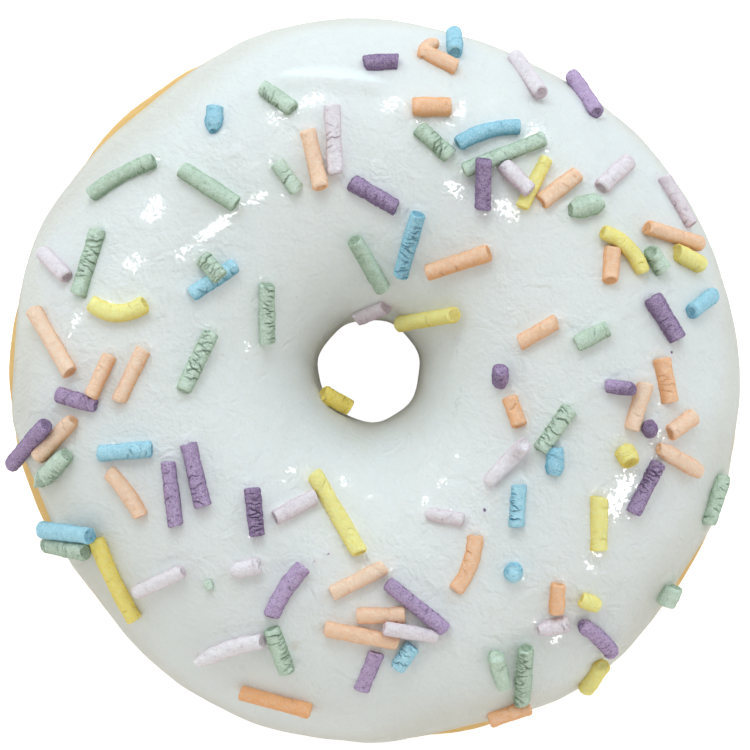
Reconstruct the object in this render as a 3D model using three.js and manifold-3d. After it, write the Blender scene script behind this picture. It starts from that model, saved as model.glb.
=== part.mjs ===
// A ring doughnut with white icing and sugar sprinkles, as two closed solids: the fried dough
// ring, and the icing shell with its sprinkles fused on.
// Millimetres, +Z up. The table is z = 0 and the origin lies under the middle of the doughnut.

import * as THREE from 'three';
import { mergeVertices } from 'three/addons/utils/BufferGeometryUtils.js';
import Module from 'manifold-3d';

const wasm = await Module();
wasm.setup();

const degree = Math.PI / 180;
const fullTurn = 2 * Math.PI;

// ---- The ring ----

const ring = {
  holeX: -0.25,           // the hole's axis, a little off the middle
  holeY: 1.5,
  outerRadius: 45.2,      // from the hole's axis to the outside of the icing
  holeRadius: 6.3,        // from the hole's axis to the icing on its wall
  bellyHeight: 13,        // where the ring is widest
  crown: 17.2,            // from the belly up to the top of the dough
  keel: 14.3,             // from the belly down to where the underside would end if it were round
  roundness: 2.25,        // power of the section's superellipse, where 2 is an ellipse
};

// Uneven rising of the dough: [lobes round the ring, size, bearing of a peak in degrees]
const outerSwells = [[1, 1.72, -74], [2, 0.71, -33], [4, 0.11, 1], [5, 0.19, 34], [7, 0.13, -12]];
const holeSwells = [[1, 0.35, 205], [3, 0.1, 48]];
const crownSwells = [[1, 0.25, 60], [2, 0.3, 20], [3, 0.25, 100], [5, 0.12, 10]];

// Where the icing stops high on the shoulder and the dough bulges out below it:
// [bearing, half width, both in degrees, how far the bulge comes out, from 0 to 1]
const bareShoulders = [[130, 17, 1], [178, 14, 0.85], [201, 17, 1], [-33, 12, 0.85], [-74, 12, 0.85]];

// ---- The icing ----

const icing = {
  gap: 0.3,               // clear of the dough
  sideDepth: 0.8,
  topDepth: 1.3,
  lipDepth: 0.45,         // at the very edge
  beadDepth: 0.25,        // extra depth of the rounded bead just inside the edge
  beadPlace: 0.08,        // share of the way from one edge to the other
  beadWidth: 0.035,
  lowEdge: -8,            // angle of the outer edge round the section, in degrees from the belly
  highEdge: 26,           // the same at a bare shoulder
  wallEdge: 193,          // angle of the edge inside the hole
};
const edgeWaves = [[3, 2, 15], [5, 2.5, 70], [8, 2, 100], [13, 1.5, 8]];
const wallEdgeWaves = [[2, 2, 30], [5, 2, 10]];

// ---- Mesh fineness ----

const ringSteps = 60;
const coverSteps = 14;         // across the icing, from edge to edge
const undersideSteps = 9;
const edgeCrowding = 0.04;     // draws the steps closer together at the icing's edges
const slope = 0.001;           // step, in radians, for working out the surface's normal

// ---- The sprinkles ----

const sprinkle = {
  width: 2.0,
  sides: 7,
  sink: 0.38,             // share of the radius that lies in the icing
  bentSteps: 3,
  ribbonHeight: 0.6,      // thickness of a flattened sprinkle, as a share of its width
  plumpness: 0.04,        // random change of width, either way
  roll: 180,              // random turn about the sprinkle's own length, either way, in degrees
  rimLimit: 0.985,        // how far out across the section a resting height is still read
  clearOfDough: 0.4,
  seed: 7,
};

// How the decorator dropped them, by colour, longest first:
// [x, y of the middle, heading in degrees, length seen from above, options]
// wide: width; bow: how far the middle bends to the left of the heading; ribbon: flattened;
// rise: how far each end lies above the icing, on another sprinkle; stand: height of one on end
const layout = {
  sage: [
    [16.1, 27.8, 22, 10.8],
    [-30.8, 25.0, 28, 8.9, { bow: 0.38 }],
    [-35.0, 14.6, -107, 8.5],
    [-21.5, 2.4, -116, 8.0],
    [-20.1, 23.8, -33, 8.0, { wide: 2.2 }],
    [-13.0, 8.2, -90, 7.3],
    [-0.5, 14.2, -60, 7.1],
    [18.6, -36.3, -93, 7.0],
    [42.4, -14.7, -108, 6.5],
    [22.3, -5.9, -125, 6.4],
    [-11.5, -33.1, -71, 5.9],
    [-39.7, -11.0, 43, 5.7],
    [7.5, 29.3, -42, 5.3],
    [-38.0, -20.7, -7, 5.2],
    [-11.7, 34.7, -36, 4.7],
    [15.6, -35.7, -74, 4.7],
    [26.8, 5.5, 27, 4.4],
    [-10.5, 25.0, -54, 4.4],
    [26.2, 21.5, 14, 4.2, { wide: 2.5 }],
    [-19.8, 13.9, -48, 3.5, { rise: [0, 1.4] }],
    [34.9, 14.7, -57, 3.0, { wide: 2.2 }],
    [36.7, -26.5, -117, 2.4, { wide: 2.7 }],
  ],
  blue: [
    [14.2, 30.1, 16, 8.0, { bow: 0.62 }],
    [4.4, 16.6, -106, 8.0],
    [-30.4, -8.6, 5, 6.7],
    [-19.5, 12.4, 34, 6.6],
    [-37.9, -18.7, -5, 6.3, { rise: [0.4, 0.2] }],
    [17.7, -15.3, -94, 5.2],
    [40.6, 9.6, 36, 3.7],
    [3.9, -33.9, -124, 3.5],
    [22.3, -9.8, -96, 3.4, { wide: 2.2 }],
    [-19.5, 32.2, -94, 3.1, { wide: 2.2 }],
    [10.1, 41.9, -88, 2.6],
    [17.2, -23.4, 90, 0.3, { wide: 2.3, stand: 2.0 }],
  ],
  peach: [
    [-1.4, -31.2, -11, 9.1],
    [-12.0, -39.6, -15, 9.0],
    [-39.5, 4.9, -59, 9.0],
    [10.4, 14.5, 18, 8.0],
    [-7.2, 27.2, -77, 7.4],
    [-1.8, -24.4, 27, 7.4],
    [11.3, -22.3, -110, 7.3, { bow: 0.62, ribbon: true }],
    [37.1, 17.9, -16, 7.1],
    [-29.6, 0.7, -116, 7.1],
    [-30.4, -13.8, -54, 6.8, { bow: 0.25 }],
    [-39.1, -7.1, 46, 6.6],
    [37.7, -9.7, -30, 6.1],
    [32.5, -3.1, -107, 6.0],
    [1.0, -28.7, 1, 5.9],
    [22.9, 23.7, -142, 5.8],
    [-33.4, 0.6, -115, 5.7, { wide: 1.8, rise: [0, 1.0] }],
    [35.9, 0.1, -79, 5.5, { wide: 2.3, ribbon: true }],
    [16.9, -41.1, 18, 5.4],
    [20.2, 6.0, 30, 5.3],
    [7.2, 33.6, 0, 4.8, { wide: 2.3 }],
    [8.2, 39.6, -26, 4.7],
    [29.2, 14.3, -95, 4.2],
    [38.0, -5.3, 35, 3.9],
    [17.3, -3.7, -70, 3.9],
    [22.6, -26.7, -93, 3.7],
    [6.9, 41.1, 22, 1.3, { wide: 1.6 }],
  ],
  lilac: [
    [-17.7, -33.4, 20, 8.8, { wide: 1.8, bow: 0.44 }],
    [-4.8, 29.6, -87, 8.5],
    [37.7, 22.3, -60, 7.0],
    [16.3, -10.1, -133, 6.8],
    [-26.3, -24.7, 25, 6.6, { wide: 1.8 }],
    [4.6, -30.8, -10, 6.6, { wide: 1.8, rise: [1.7, 0] }],
    [19.2, 37.8, -57, 6.2],
    [-9.5, -15.4, 28, 5.7],
    [29.8, 25.5, 43, 5.0],
    [8.8, -16.6, -10, 4.7, { wide: 1.8 }],
    [17.6, 24.9, -45, 4.7, { rise: [0.4, 1.5] }],
    [-39.3, 14.4, -44, 4.6, { wide: 1.8 }],
    [22.2, -30.2, 13, 3.9],
    [-0.1, 8.6, 21, 3.7],
    [-15.6, -22.9, 13, 3.7],
  ],
  purple: [
    [5.3, -27.6, -39, 9.3],
    [-21.7, -11.5, -77, 7.9],
    [-24.6, -13.8, -83, 7.9],
    [-10.5, -25.8, -123, 7.4, { bow: -0.38 }],
    [33.5, -13.1, -117, 7.1],
    [-42.5, -7.9, 47, 6.9],
    [0.1, 22.8, -30, 6.5],
    [35.8, 7.7, -58, 6.2, { wide: 2.2 }],
    [13.5, 24.1, -91, 6.1, { rise: [1.9, 0] }],
    [26.3, 35.5, -59, 6.0],
    [-14.5, -16.0, -84, 5.9],
    [27.7, -31.9, -44, 5.5, { bow: 0.31 }],
    [-0.5, -35.7, -112, 5.2, { ribbon: true }],
    [-36.4, -2.3, -16, 5.1],
    [1.0, 39.2, 3, 4.2],
    [30.2, -0.8, -7, 3.4, { wide: 1.8, rise: [-0.2, 1.1] }],
    [15.6, 0.6, 90, 1.6, { stand: 2.6 }],
    [33.9, -5.9, 87, 1.0, { stand: 2.2 }],
  ],
  yellow: [
    [-4.4, -16.2, -60, 11.4],
    [-31.7, -24.5, -65, 11.1, { bow: -0.25 }],
    [30.6, 15.8, -45, 7.2, { bow: 0.85 }],
    [19.8, 24.3, -117, 6.9, { wide: 1.8 }],
    [6.6, 7.6, 9, 6.8],
    [-31.3, 9.6, -2, 6.8, { bow: -1.25 }],
    [27.7, -17.5, -90, 6.6, { wide: 2.2, ribbon: true }],
    [27.6, -36.6, -121, 4.4],
    [-4.6, -2.4, -28, 3.9],
    [39.0, 15.1, -27, 3.6, { wide: 2.2 }],
    [31.0, -8.9, -96, 2.5, { wide: 2.4 }],
    [26.6, -27.2, -23, 2.3],
  ],
};

// ---- Finishes ----

const doughFinish = { color: 0xd9a25e, roughness: 0.75, metalness: 0 };
const icingFinish = { color: 0xeef2f1, roughness: 0.25, metalness: 0 };

// ---- Small helpers ----

// Lehmer's generator: the same numbers from 0 to 1 in every run
function seededRandom(seed) {
  const multiplier = 16807;
  const modulus = 2147483647;
  let state = seed;
  return () => {
    state = (state * multiplier) % modulus;
    return state / modulus;
  };
}

function waves(bearing, list) {
  return list.reduce((sum, [lobes, size, peak]) => sum + size * Math.cos(lobes * (bearing - peak * degree)), 0);
}

function superPower(value) {
  return Math.sign(value) * Math.abs(value) ** (2 / ring.roundness);
}

// ---- The ring's surface ----

// 0 where the icing reaches below the belly, up to 1 at a bare shoulder
function bareness(bearing) {
  let most = 0;
  for (const [middle, halfWidth, size] of bareShoulders) {
    const turn = Math.atan2(Math.sin(bearing - middle * degree), Math.cos(bearing - middle * degree));
    const share = Math.min(1, Math.abs(turn) / (2 * halfWidth * degree));
    most = Math.max(most, size * Math.cos(share * Math.PI / 2) ** 2);
  }
  return most;
}

function icedRadius(bearing) {
  return ring.outerRadius + waves(bearing, outerSwells);
}

function icedHoleRadius(bearing) {
  return ring.holeRadius + waves(bearing, holeSwells);
}

function crownHeight(bearing) {
  return ring.crown + waves(bearing, crownSwells);
}

// A point of the dough. The bearing runs round the ring, and the tilt round its section:
// 0 at the outer belly, 90 degrees on top, 180 at the hole's wall, 270 on the foot.
function doughPoint(bearing, tilt) {
  const cover = icing.gap + icing.sideDepth;
  const outer = icedRadius(bearing) - cover * (1 - bareness(bearing) ** 2);
  const inner = icedHoleRadius(bearing) + cover;
  const up = superPower(Math.sin(tilt));
  const radius = (outer + inner) / 2 + (outer - inner) / 2 * superPower(Math.cos(tilt));
  const height = ring.bellyHeight + up * (up > 0 ? crownHeight(bearing) : ring.keel);
  return new THREE.Vector3(
    ring.holeX + radius * Math.cos(bearing),
    ring.holeY + radius * Math.sin(bearing),
    Math.max(0, height),
  );
}

function doughNormal(bearing, tilt) {
  const along = doughPoint(bearing + slope, tilt).sub(doughPoint(bearing - slope, tilt));
  const across = doughPoint(bearing, tilt + slope).sub(doughPoint(bearing, tilt - slope));
  return along.cross(across).normalize();
}

function outerEdgeTilt(bearing) {
  const low = icing.lowEdge + waves(bearing, edgeWaves);
  return THREE.MathUtils.lerp(low, icing.highEdge, bareness(bearing)) * degree;
}

function wallEdgeTilt(bearing) {
  return (icing.wallEdge + waves(bearing, wallEdgeWaves)) * degree;
}

// Tilt at a share of the way across the icing, from its outer edge to its edge in the hole
function coverTilt(bearing, share) {
  const eased = share - edgeCrowding * Math.sin(fullTurn * share);
  return THREE.MathUtils.lerp(outerEdgeTilt(bearing), wallEdgeTilt(bearing), eased);
}

function icingDepth(bearing, share) {
  const top = Math.max(0, Math.sin(coverTilt(bearing, share)));
  const depth = THREE.MathUtils.lerp(icing.sideDepth, icing.topDepth, top);
  const fromEdge = Math.min(share, 1 - share);
  const bead = icing.beadDepth * Math.exp(-(((fromEdge - icing.beadPlace) / icing.beadWidth) ** 2));
  const lip = THREE.MathUtils.smoothstep(fromEdge, 0, icing.beadPlace);
  return THREE.MathUtils.lerp(icing.lipDepth, depth, lip) + bead;
}

// ---- Solids ----

// A surface that closes on itself round the ring and round the section. Each four-sided facet is
// split along one diagonal, and facets for which leansBack holds along the other.
function ringGeometry(pointAt, rows, leansBack = () => false) {
  const points = [];
  const triangles = [];
  for (let step = 0; step < ringSteps; step += 1) {
    const nextStep = (step + 1) % ringSteps;
    for (let row = 0; row < rows; row += 1) {
      points.push(pointAt(fullTurn * step / ringSteps, row));
      const nextRow = (row + 1) % rows;
      const corners = [[step, row], [nextStep, row], [nextStep, nextRow], [step, nextRow]];
      const [here, along, across, above] = corners.map(([i, j]) => i * rows + j);
      if (leansBack(row)) {
        triangles.push(here, along, above, above, along, across);
      } else {
        triangles.push(here, along, across, here, across, above);
      }
    }
  }
  return new THREE.BufferGeometry().setFromPoints(points).setIndex(triangles);
}

// The dough's mesh lines follow the icing's edges, so both solids have matching facets
function doughGeometry(grow = 0) {
  const tiltAt = (bearing, row) => {
    if (row <= coverSteps) {
      return coverTilt(bearing, row / coverSteps);
    }
    const share = (row - coverSteps) / undersideSteps;
    return THREE.MathUtils.lerp(wallEdgeTilt(bearing), outerEdgeTilt(bearing) + fullTurn, share);
  };
  return ringGeometry((bearing, row) => {
    const tilt = tiltAt(bearing, row);
    return doughPoint(bearing, tilt).addScaledVector(doughNormal(bearing, tilt), grow);
  }, coverSteps + undersideSteps);
}

// Up the outside from the outer edge to the hole, then back along the inside
function icingGeometry() {
  const faceRows = coverSteps + 1;
  return ringGeometry((bearing, row) => {
    const outside = row < faceRows;
    const share = (outside ? row : 2 * faceRows - 1 - row) / coverSteps;
    const tilt = coverTilt(bearing, share);
    const offset = icing.gap + (outside ? icingDepth(bearing, share) : 0);
    return doughPoint(bearing, tilt).addScaledVector(doughNormal(bearing, tilt), offset);
  }, 2 * faceRows, (row) => row >= faceRows);
}

function toSolid(geometry) {
  const bare = geometry.clone();
  bare.deleteAttribute('normal');
  bare.deleteAttribute('uv');
  const merged = mergeVertices(bare);
  const mesh = new wasm.Mesh({
    numProp: 3,
    vertProperties: new Float32Array(merged.attributes.position.array),
    triVerts: new Uint32Array(merged.index.array),
  });
  return new wasm.Manifold(mesh);
}

function toGeometry(solid) {
  const mesh = solid.getMesh();
  const geometry = new THREE.BufferGeometry();
  geometry.setAttribute('position', new THREE.BufferAttribute(mesh.vertProperties, 3));
  geometry.setIndex(new THREE.BufferAttribute(mesh.triVerts, 1));
  geometry.computeVertexNormals();
  return geometry;
}

// ---- Sprinkles ----

// Height of the axis of a sprinkle that rests on the icing at this place
function restingHeight(x, y, radius) {
  const bearing = Math.atan2(y - ring.holeY, x - ring.holeX);
  const distance = Math.hypot(x - ring.holeX, y - ring.holeY);
  const rest = radius * (1 - sprinkle.sink);
  const outer = icedRadius(bearing) + rest;
  const inner = icedHoleRadius(bearing) - rest;
  const across = Math.abs(distance - (outer + inner) / 2) / ((outer - inner) / 2);
  const up = (1 - Math.min(across, sprinkle.rimLimit) ** ring.roundness) ** (1 / ring.roundness);
  return ring.bellyHeight + up * (crownHeight(bearing) + icing.gap + icing.topDepth + rest);
}

// A straight sprinkle on the domed icing touches with its middle, sunk in a little further
function sprinkleEnds(x, y, heading, length, radius, { rise = [0, 0], stand = 0 }) {
  const ends = [-0.5, 0.5].map((side) => new THREE.Vector3(
    x + side * length * Math.cos(heading * degree),
    y + side * length * Math.sin(heading * degree),
  ));
  if (stand > 0) {
    ends[0].z = restingHeight(x, y, radius) - radius;
    ends[1].z = ends[0].z + stand;
    return ends;
  }
  const heights = ends.map((end) => restingHeight(end.x, end.y, radius));
  const dome = (restingHeight(x, y, radius) - (heights[0] + heights[1]) / 2) / 2;
  ends.forEach((end, index) => {
    end.z = heights[index] + dome + rise[index];
  });
  return ends;
}

function sprinkleGeometry([x, y, heading, length, options = {}], random) {
  const plump = 1 + sprinkle.plumpness * (2 * random() - 1);
  const radius = (options.wide ?? sprinkle.width) / 2 * plump;
  const roll = sprinkle.roll * degree * (2 * random() - 1);
  const flatness = options.ribbon ? sprinkle.ribbonHeight : 1;
  const [start, end] = sprinkleEnds(x, y, heading, length, radius * flatness, options);
  const bow = options.bow ?? 0;
  const reach = start.distanceTo(end);
  const steps = bow === 0 ? 1 : sprinkle.bentSteps;
  const geometry = new THREE.CylinderGeometry(radius, radius, reach, sprinkle.sides, steps);
  geometry.rotateY(options.ribbon ? 0 : roll);
  geometry.scale(1, 1, flatness);
  const position = geometry.attributes.position;
  for (let index = 0; index < position.count; index += 1) {
    const share = 2 * position.getY(index) / reach;
    position.setX(index, position.getX(index) - bow * (1 - share * share));
  }
  // Local Y lies along the sprinkle and local X to the right of its heading
  const forward = end.clone().sub(start).normalize();
  const right = new THREE.Vector3(Math.sin(heading * degree), -Math.cos(heading * degree), 0);
  const upward = right.clone().cross(forward).normalize();
  const middle = start.clone().add(end).multiplyScalar(0.5);
  geometry.applyMatrix4(new THREE.Matrix4().makeBasis(right, forward, upward).setPosition(middle));
  return geometry;
}

function sprinkleSolids() {
  const random = seededRandom(sprinkle.seed);
  return Object.values(layout).flat().map((row) => toSolid(sprinkleGeometry(row, random)));
}

// ---- The doughnut ----

function makeDough() {
  const mesh = new THREE.Mesh(doughGeometry(), new THREE.MeshStandardMaterial(doughFinish));
  mesh.name = 'dough';
  return mesh;
}

function makeIcing() {
  const doughWithRoom = toSolid(doughGeometry(sprinkle.clearOfDough));
  const sprinkles = sprinkleSolids().reduce((all, one) => all.add(one)).subtract(doughWithRoom);
  const solid = toSolid(icingGeometry()).add(sprinkles);
  const mesh = new THREE.Mesh(toGeometry(solid), new THREE.MeshStandardMaterial(icingFinish));
  mesh.name = 'icing';
  return mesh;
}

const doughnut = new THREE.Group();
doughnut.name = 'sprinkle_frosted_doughnut';
doughnut.add(makeDough(), makeIcing());

export default doughnut;
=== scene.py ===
import math
import random

import bpy
import numpy as np
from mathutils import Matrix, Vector, kdtree, noise


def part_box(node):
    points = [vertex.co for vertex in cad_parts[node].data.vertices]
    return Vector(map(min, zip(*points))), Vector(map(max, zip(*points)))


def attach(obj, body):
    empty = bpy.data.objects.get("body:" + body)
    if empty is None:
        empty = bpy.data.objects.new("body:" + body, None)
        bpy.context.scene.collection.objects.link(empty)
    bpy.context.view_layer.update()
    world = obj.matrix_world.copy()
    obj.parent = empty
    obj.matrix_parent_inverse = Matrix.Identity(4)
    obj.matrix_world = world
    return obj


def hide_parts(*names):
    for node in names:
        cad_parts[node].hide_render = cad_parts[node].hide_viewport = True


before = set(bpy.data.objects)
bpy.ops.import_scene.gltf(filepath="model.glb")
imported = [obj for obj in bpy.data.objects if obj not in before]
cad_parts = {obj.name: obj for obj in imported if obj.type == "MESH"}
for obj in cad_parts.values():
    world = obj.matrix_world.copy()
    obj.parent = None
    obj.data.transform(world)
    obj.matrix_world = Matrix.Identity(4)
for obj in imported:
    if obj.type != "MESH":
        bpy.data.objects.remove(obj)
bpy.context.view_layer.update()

doughLow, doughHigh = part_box("dough")

# Lengths in the dictionaries are millimetres and angles are degrees.
mm = 0.001
degree = math.radians(1)
fullTurn = 2 * math.pi

# The ring's form, the same as in the solid model. Swells: lobes round the ring, size, bearing of a peak.
ring = {
    "holeX": -0.25,
    "holeY": 1.5,
    "outerRadius": 45.2,         # hole's axis to the outside of the icing
    "holeRadius": 6.55,          # hole's axis to the icing on its wall
    "bellyHeight": 13.0,
    "crown": 17.2,               # belly up to the top of the dough
    "keel": 14.3,                # belly down to where a round underside would end
    "roundness": 2.25,
    "outerSwells": [(1, 1.72, -74), (2, 0.71, -33), (4, 0.11, 1), (5, 0.19, 34), (7, 0.13, -12)],
    "holeSwells": [(1, 0.35, 205), (3, 0.1, 48), (7, 0.09, 118)],
    "crownSwells": [(1, 0.25, 60), (2, 0.3, 20), (3, 0.25, 100), (5, 0.12, 10)],
    # bearing, half width and how bare, where dough bulges out under a high icing edge
    "bareShoulders": [(131, 19, 1.0), (178, 15, 0.93), (201, 17, 1.0), (218, 9, 0.8), (-33, 13, 0.9),
                      (-12, 9, 0.76), (-74, 12, 0.88)],
}

glaze = {
    "gap": 0.3,
    "sideDepth": 0.8,
    "topDepth": 1.3,
    "lipDepth": 0.45,
    "beadDepth": 0.25,           # rounded bead just inside the edge
    "beadPlace": 0.08,
    "beadWidth": 0.035,
    "lowEdge": -8,
    "highEdge": 27.5,
    "wallEdge": 193,
    "edgeWaves": [(3, 2, 15), (5, 2.5, 70), (8, 2, 100), (13, 1.5, 8)],
    "wallEdgeWaves": [(2, 2, 30), (5, 2, 10)],
    "edgeCrowding": 0.04,
}


def waves(bearing, rows):
    return sum(size * np.cos(lobes * (bearing - peak * degree)) for lobes, size, peak in rows)


def mix(low, high, share):
    return low + (high - low) * share


def smoothStep(value, low, high):
    share = np.clip((value - low) / (high - low), 0, 1)
    return share * share * (3 - 2 * share)


def superPower(value):
    return np.sign(value) * np.abs(value) ** (2 / ring["roundness"])


# Turn from one angle to another, at most half a turn either way
def turnFrom(middle, angle):
    return np.arctan2(np.sin(angle - middle), np.cos(angle - middle))


def bareness(bearing):
    most = np.zeros_like(bearing)
    for middle, halfWidth, size in ring["bareShoulders"]:
        turn = np.abs(turnFrom(middle * degree, bearing))
        share = np.minimum(1, turn / (2 * halfWidth * degree))
        most = np.maximum(most, size * np.cos(share * math.pi / 2) ** 2)
    return most


def icedRadius(bearing):
    return ring["outerRadius"] + waves(bearing, ring["outerSwells"])


def icedHoleRadius(bearing):
    return ring["holeRadius"] + waves(bearing, ring["holeSwells"])


def crownHeight(bearing):
    return ring["crown"] + waves(bearing, ring["crownSwells"])


# Tilt runs round the section: 0 at the outer belly, 90 on top, 180 at the hole's wall, 270 on the foot
def doughPoint(bearing, tilt):
    under = glaze["gap"] + glaze["sideDepth"]
    outer = icedRadius(bearing) - under * (1 - bareness(bearing) ** 2) ** 1.5
    inner = icedHoleRadius(bearing) + under
    up = superPower(np.sin(tilt))
    radius = (outer + inner) / 2 + (outer - inner) / 2 * superPower(np.cos(tilt))
    height = ring["bellyHeight"] + up * np.where(up > 0, crownHeight(bearing), ring["keel"])
    return np.stack([ring["holeX"] + radius * np.cos(bearing),
                     ring["holeY"] + radius * np.sin(bearing),
                     np.maximum(0, height)], axis=-1)


def doughNormal(bearing, tilt):
    step = 0.001
    along = doughPoint(bearing + step, tilt) - doughPoint(bearing - step, tilt)
    across = doughPoint(bearing, tilt + step) - doughPoint(bearing, tilt - step)
    normal = np.cross(along, across)
    return normal / np.linalg.norm(normal, axis=-1, keepdims=True)


def outerEdgeTilt(bearing):
    low = glaze["lowEdge"] + waves(bearing, glaze["edgeWaves"])
    return mix(low, glaze["highEdge"], bareness(bearing)) * degree


def wallEdgeTilt(bearing):
    return (glaze["wallEdge"] + waves(bearing, glaze["wallEdgeWaves"])) * degree


def coverTilt(bearing, share):
    eased = share - glaze["edgeCrowding"] * np.sin(fullTurn * share)
    return mix(outerEdgeTilt(bearing), wallEdgeTilt(bearing), eased)


def icingDepth(bearing, share):
    top = np.maximum(0, np.sin(coverTilt(bearing, share)))
    depth = mix(glaze["sideDepth"], glaze["topDepth"], top)
    fromEdge = np.minimum(share, 1 - share)
    bead = glaze["beadDepth"] * np.exp(-(((fromEdge - glaze["beadPlace"]) / glaze["beadWidth"]) ** 2))
    return mix(glaze["lipDepth"], depth, smoothStep(fromEdge, 0, glaze["beadPlace"])) + bead


# The icing's outer face, with the normals of the dough under it
def icingFace(bearing, share):
    tilt = coverTilt(bearing, share)
    normals = doughNormal(bearing, tilt)
    depth = glaze["gap"] + icingDepth(bearing, share)
    face = doughPoint(bearing, tilt) + normals * depth[..., None]
    return face.reshape(-1, 3), normals.reshape(-1, 3)


def noiseAt(points, size, shift=0.0):
    away = Vector((shift, shift, shift))
    return np.array([noise.noise(Vector(point) / size + away) for point in points])


def pointTree(points):
    tree = kdtree.KDTree(len(points))
    for index, point in enumerate(points):
        tree.insert(point, index)
    tree.balance()
    return tree


# A skin that closes on itself round the ring and round the section, from rows of points
def ringFaces(rowCount, roundCount):
    here = np.arange(rowCount * roundCount).reshape(rowCount, roundCount)
    along = np.roll(here, -1, axis=1)
    above = np.roll(here, -1, axis=0)
    across = np.roll(along, -1, axis=0)
    return np.stack([here, along, across, above], axis=-1).reshape(-1, 4).tolist()


def makePiece(name, points, faces, material):
    mesh = bpy.data.meshes.new(name)
    mesh.from_pydata((np.asarray(points) * mm).tolist(), [], faces)
    mesh.validate()
    mesh.shade_smooth()
    mesh.materials.append(material)
    piece = bpy.data.objects.new(name, mesh)
    bpy.context.scene.collection.objects.link(piece)
    return piece


def paintPoints(piece, name, values):
    values = np.asarray(values, dtype=np.float32)
    kind = "FLOAT" if values.ndim == 1 else "FLOAT_COLOR"
    slot = "value" if values.ndim == 1 else "color"
    piece.data.attributes.new(name, kind, "POINT").data.foreach_set(slot, values.ravel())


def fillInputs(tree, node, inputs):
    for name, value in inputs.items():
        if isinstance(value, bpy.types.NodeSocket):
            tree.links.new(value, node.inputs[name])
        else:
            node.inputs[name].default_value = value


def addNode(tree, kind, inputs=None, **settings):
    node = tree.nodes.new("ShaderNode" + kind)
    for name, value in settings.items():
        setattr(node, name, value)
    fillInputs(tree, node, inputs or {})
    return node


# What paintPoints painted on the mesh
def painted(tree, name):
    return addNode(tree, "Attribute", attribute_name=name).outputs


def calculate(tree, operation, first, second=0.0, clamp=False):
    return addNode(tree, "Math", {0: first, 1: second}, operation=operation, use_clamp=clamp).outputs[0]


def plus(tree, first, second, clamp=False):
    return calculate(tree, "ADD", first, second, clamp)


def minus(tree, first, second):
    return calculate(tree, "SUBTRACT", first, second)


def times(tree, first, second):
    return calculate(tree, "MULTIPLY", first, second)


def blendColours(tree, share, first, second, blend="MIX"):
    node = addNode(tree, "Mix", {0: share, 6: first, 7: second}, data_type="RGBA", blend_type=blend)
    return node.outputs[2]


def rescale(tree, value, fromLow, fromHigh, toLow, toHigh):
    inputs = {"Value": value, "From Min": fromLow, "From Max": fromHigh, "To Min": toLow, "To Max": toHigh}
    return addNode(tree, "MapRange", inputs).outputs["Result"]


def mixNumber(tree, share, low, high):
    return rescale(tree, share, 0.0, 1.0, low, high)


# Noise with so many patches to the millimetre
def noisePattern(tree, place, density, detail=2.0, roughness=0.5, distortion=0.0):
    return addNode(tree, "TexNoise", {"Vector": place, "Scale": density / mm, "Detail": detail,
                                      "Roughness": roughness, "Distortion": distortion}).outputs


def makeGroup(name, inputs, outputs):
    group = bpy.data.node_groups.new(name, "ShaderNodeTree")
    for label, kind, value in inputs:
        socket = group.interface.new_socket(label, in_out="INPUT", socket_type="NodeSocket" + kind)
        if value is not None:
            socket.default_value = value
    for label, kind in outputs:
        group.interface.new_socket(label, in_out="OUTPUT", socket_type="NodeSocket" + kind)
    return group, group.nodes.new("NodeGroupInput").outputs, group.nodes.new("NodeGroupOutput").inputs


# Patchy change from one colour to another, and the same patches as a height
def makePatchyColour():
    group, given, out = makeGroup(
        "patchyColour",
        [("Place", "Vector", None), ("Light", "Color", (1, 1, 1, 1)), ("Dark", "Color", (0.5, 0.5, 0.5, 1)),
         ("Size", "Float", 5.0), ("Contrast", "Float", 0.5)],
        [("Colour", "Color"), ("Height", "Float")])
    scale = calculate(group, "DIVIDE", 1 / mm, given["Size"])
    patches = addNode(group, "TexNoise", {"Vector": given["Place"], "Scale": scale, "Detail": 3.0,
                                          "Roughness": 0.55}).outputs["Fac"]
    low = times(group, given["Contrast"], -0.25)
    share = rescale(group, patches, plus(group, low, 0.5), minus(group, 0.5, low), 0.0, 1.0)
    group.links.new(blendColours(group, share, given["Dark"], given["Light"]), out["Colour"])
    group.links.new(patches, out["Height"])
    return group


# Thin lines between cells, broken up so that they come and go
def makeHairLines():
    group, given, out = makeGroup(
        "hairLines",
        [("Place", "Vector", None), ("Size", "Float", 4.0), ("Width", "Float", 0.1),
         ("Wander", "Float", 0.5)],
        [("Lines", "Float")])
    wobble = noisePattern(group, given["Place"], 0.45)["Color"]
    centred = addNode(group, "VectorMath", {0: wobble, 1: (0.5, 0.5, 0.5)}, operation="SUBTRACT")
    reach = times(group, given["Wander"], 4 * mm)
    shift = addNode(group, "VectorMath", {0: centred.outputs[0], "Scale": reach}, operation="SCALE")
    place = addNode(group, "VectorMath", {0: given["Place"], 1: shift.outputs[0]}, operation="ADD")
    scale = calculate(group, "DIVIDE", 1 / mm, given["Size"])
    cells = addNode(group, "TexVoronoi", {"Vector": place.outputs[0], "Scale": scale},
                    feature="DISTANCE_TO_EDGE")
    edge = calculate(group, "DIVIDE", given["Width"], given["Size"])
    line = addNode(group, "MapRange", {0: cells.outputs["Distance"], "From Min": edge, "From Max": 0.0},
                   interpolation_type="SMOOTHSTEP")
    breaks = noisePattern(group, given["Place"], 0.22, detail=1.0)["Fac"]
    shown = rescale(group, breaks, 0.4, 0.65, 0.0, 1.0)
    group.links.new(times(group, line.outputs["Result"], shown), out["Lines"])
    return group


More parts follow.
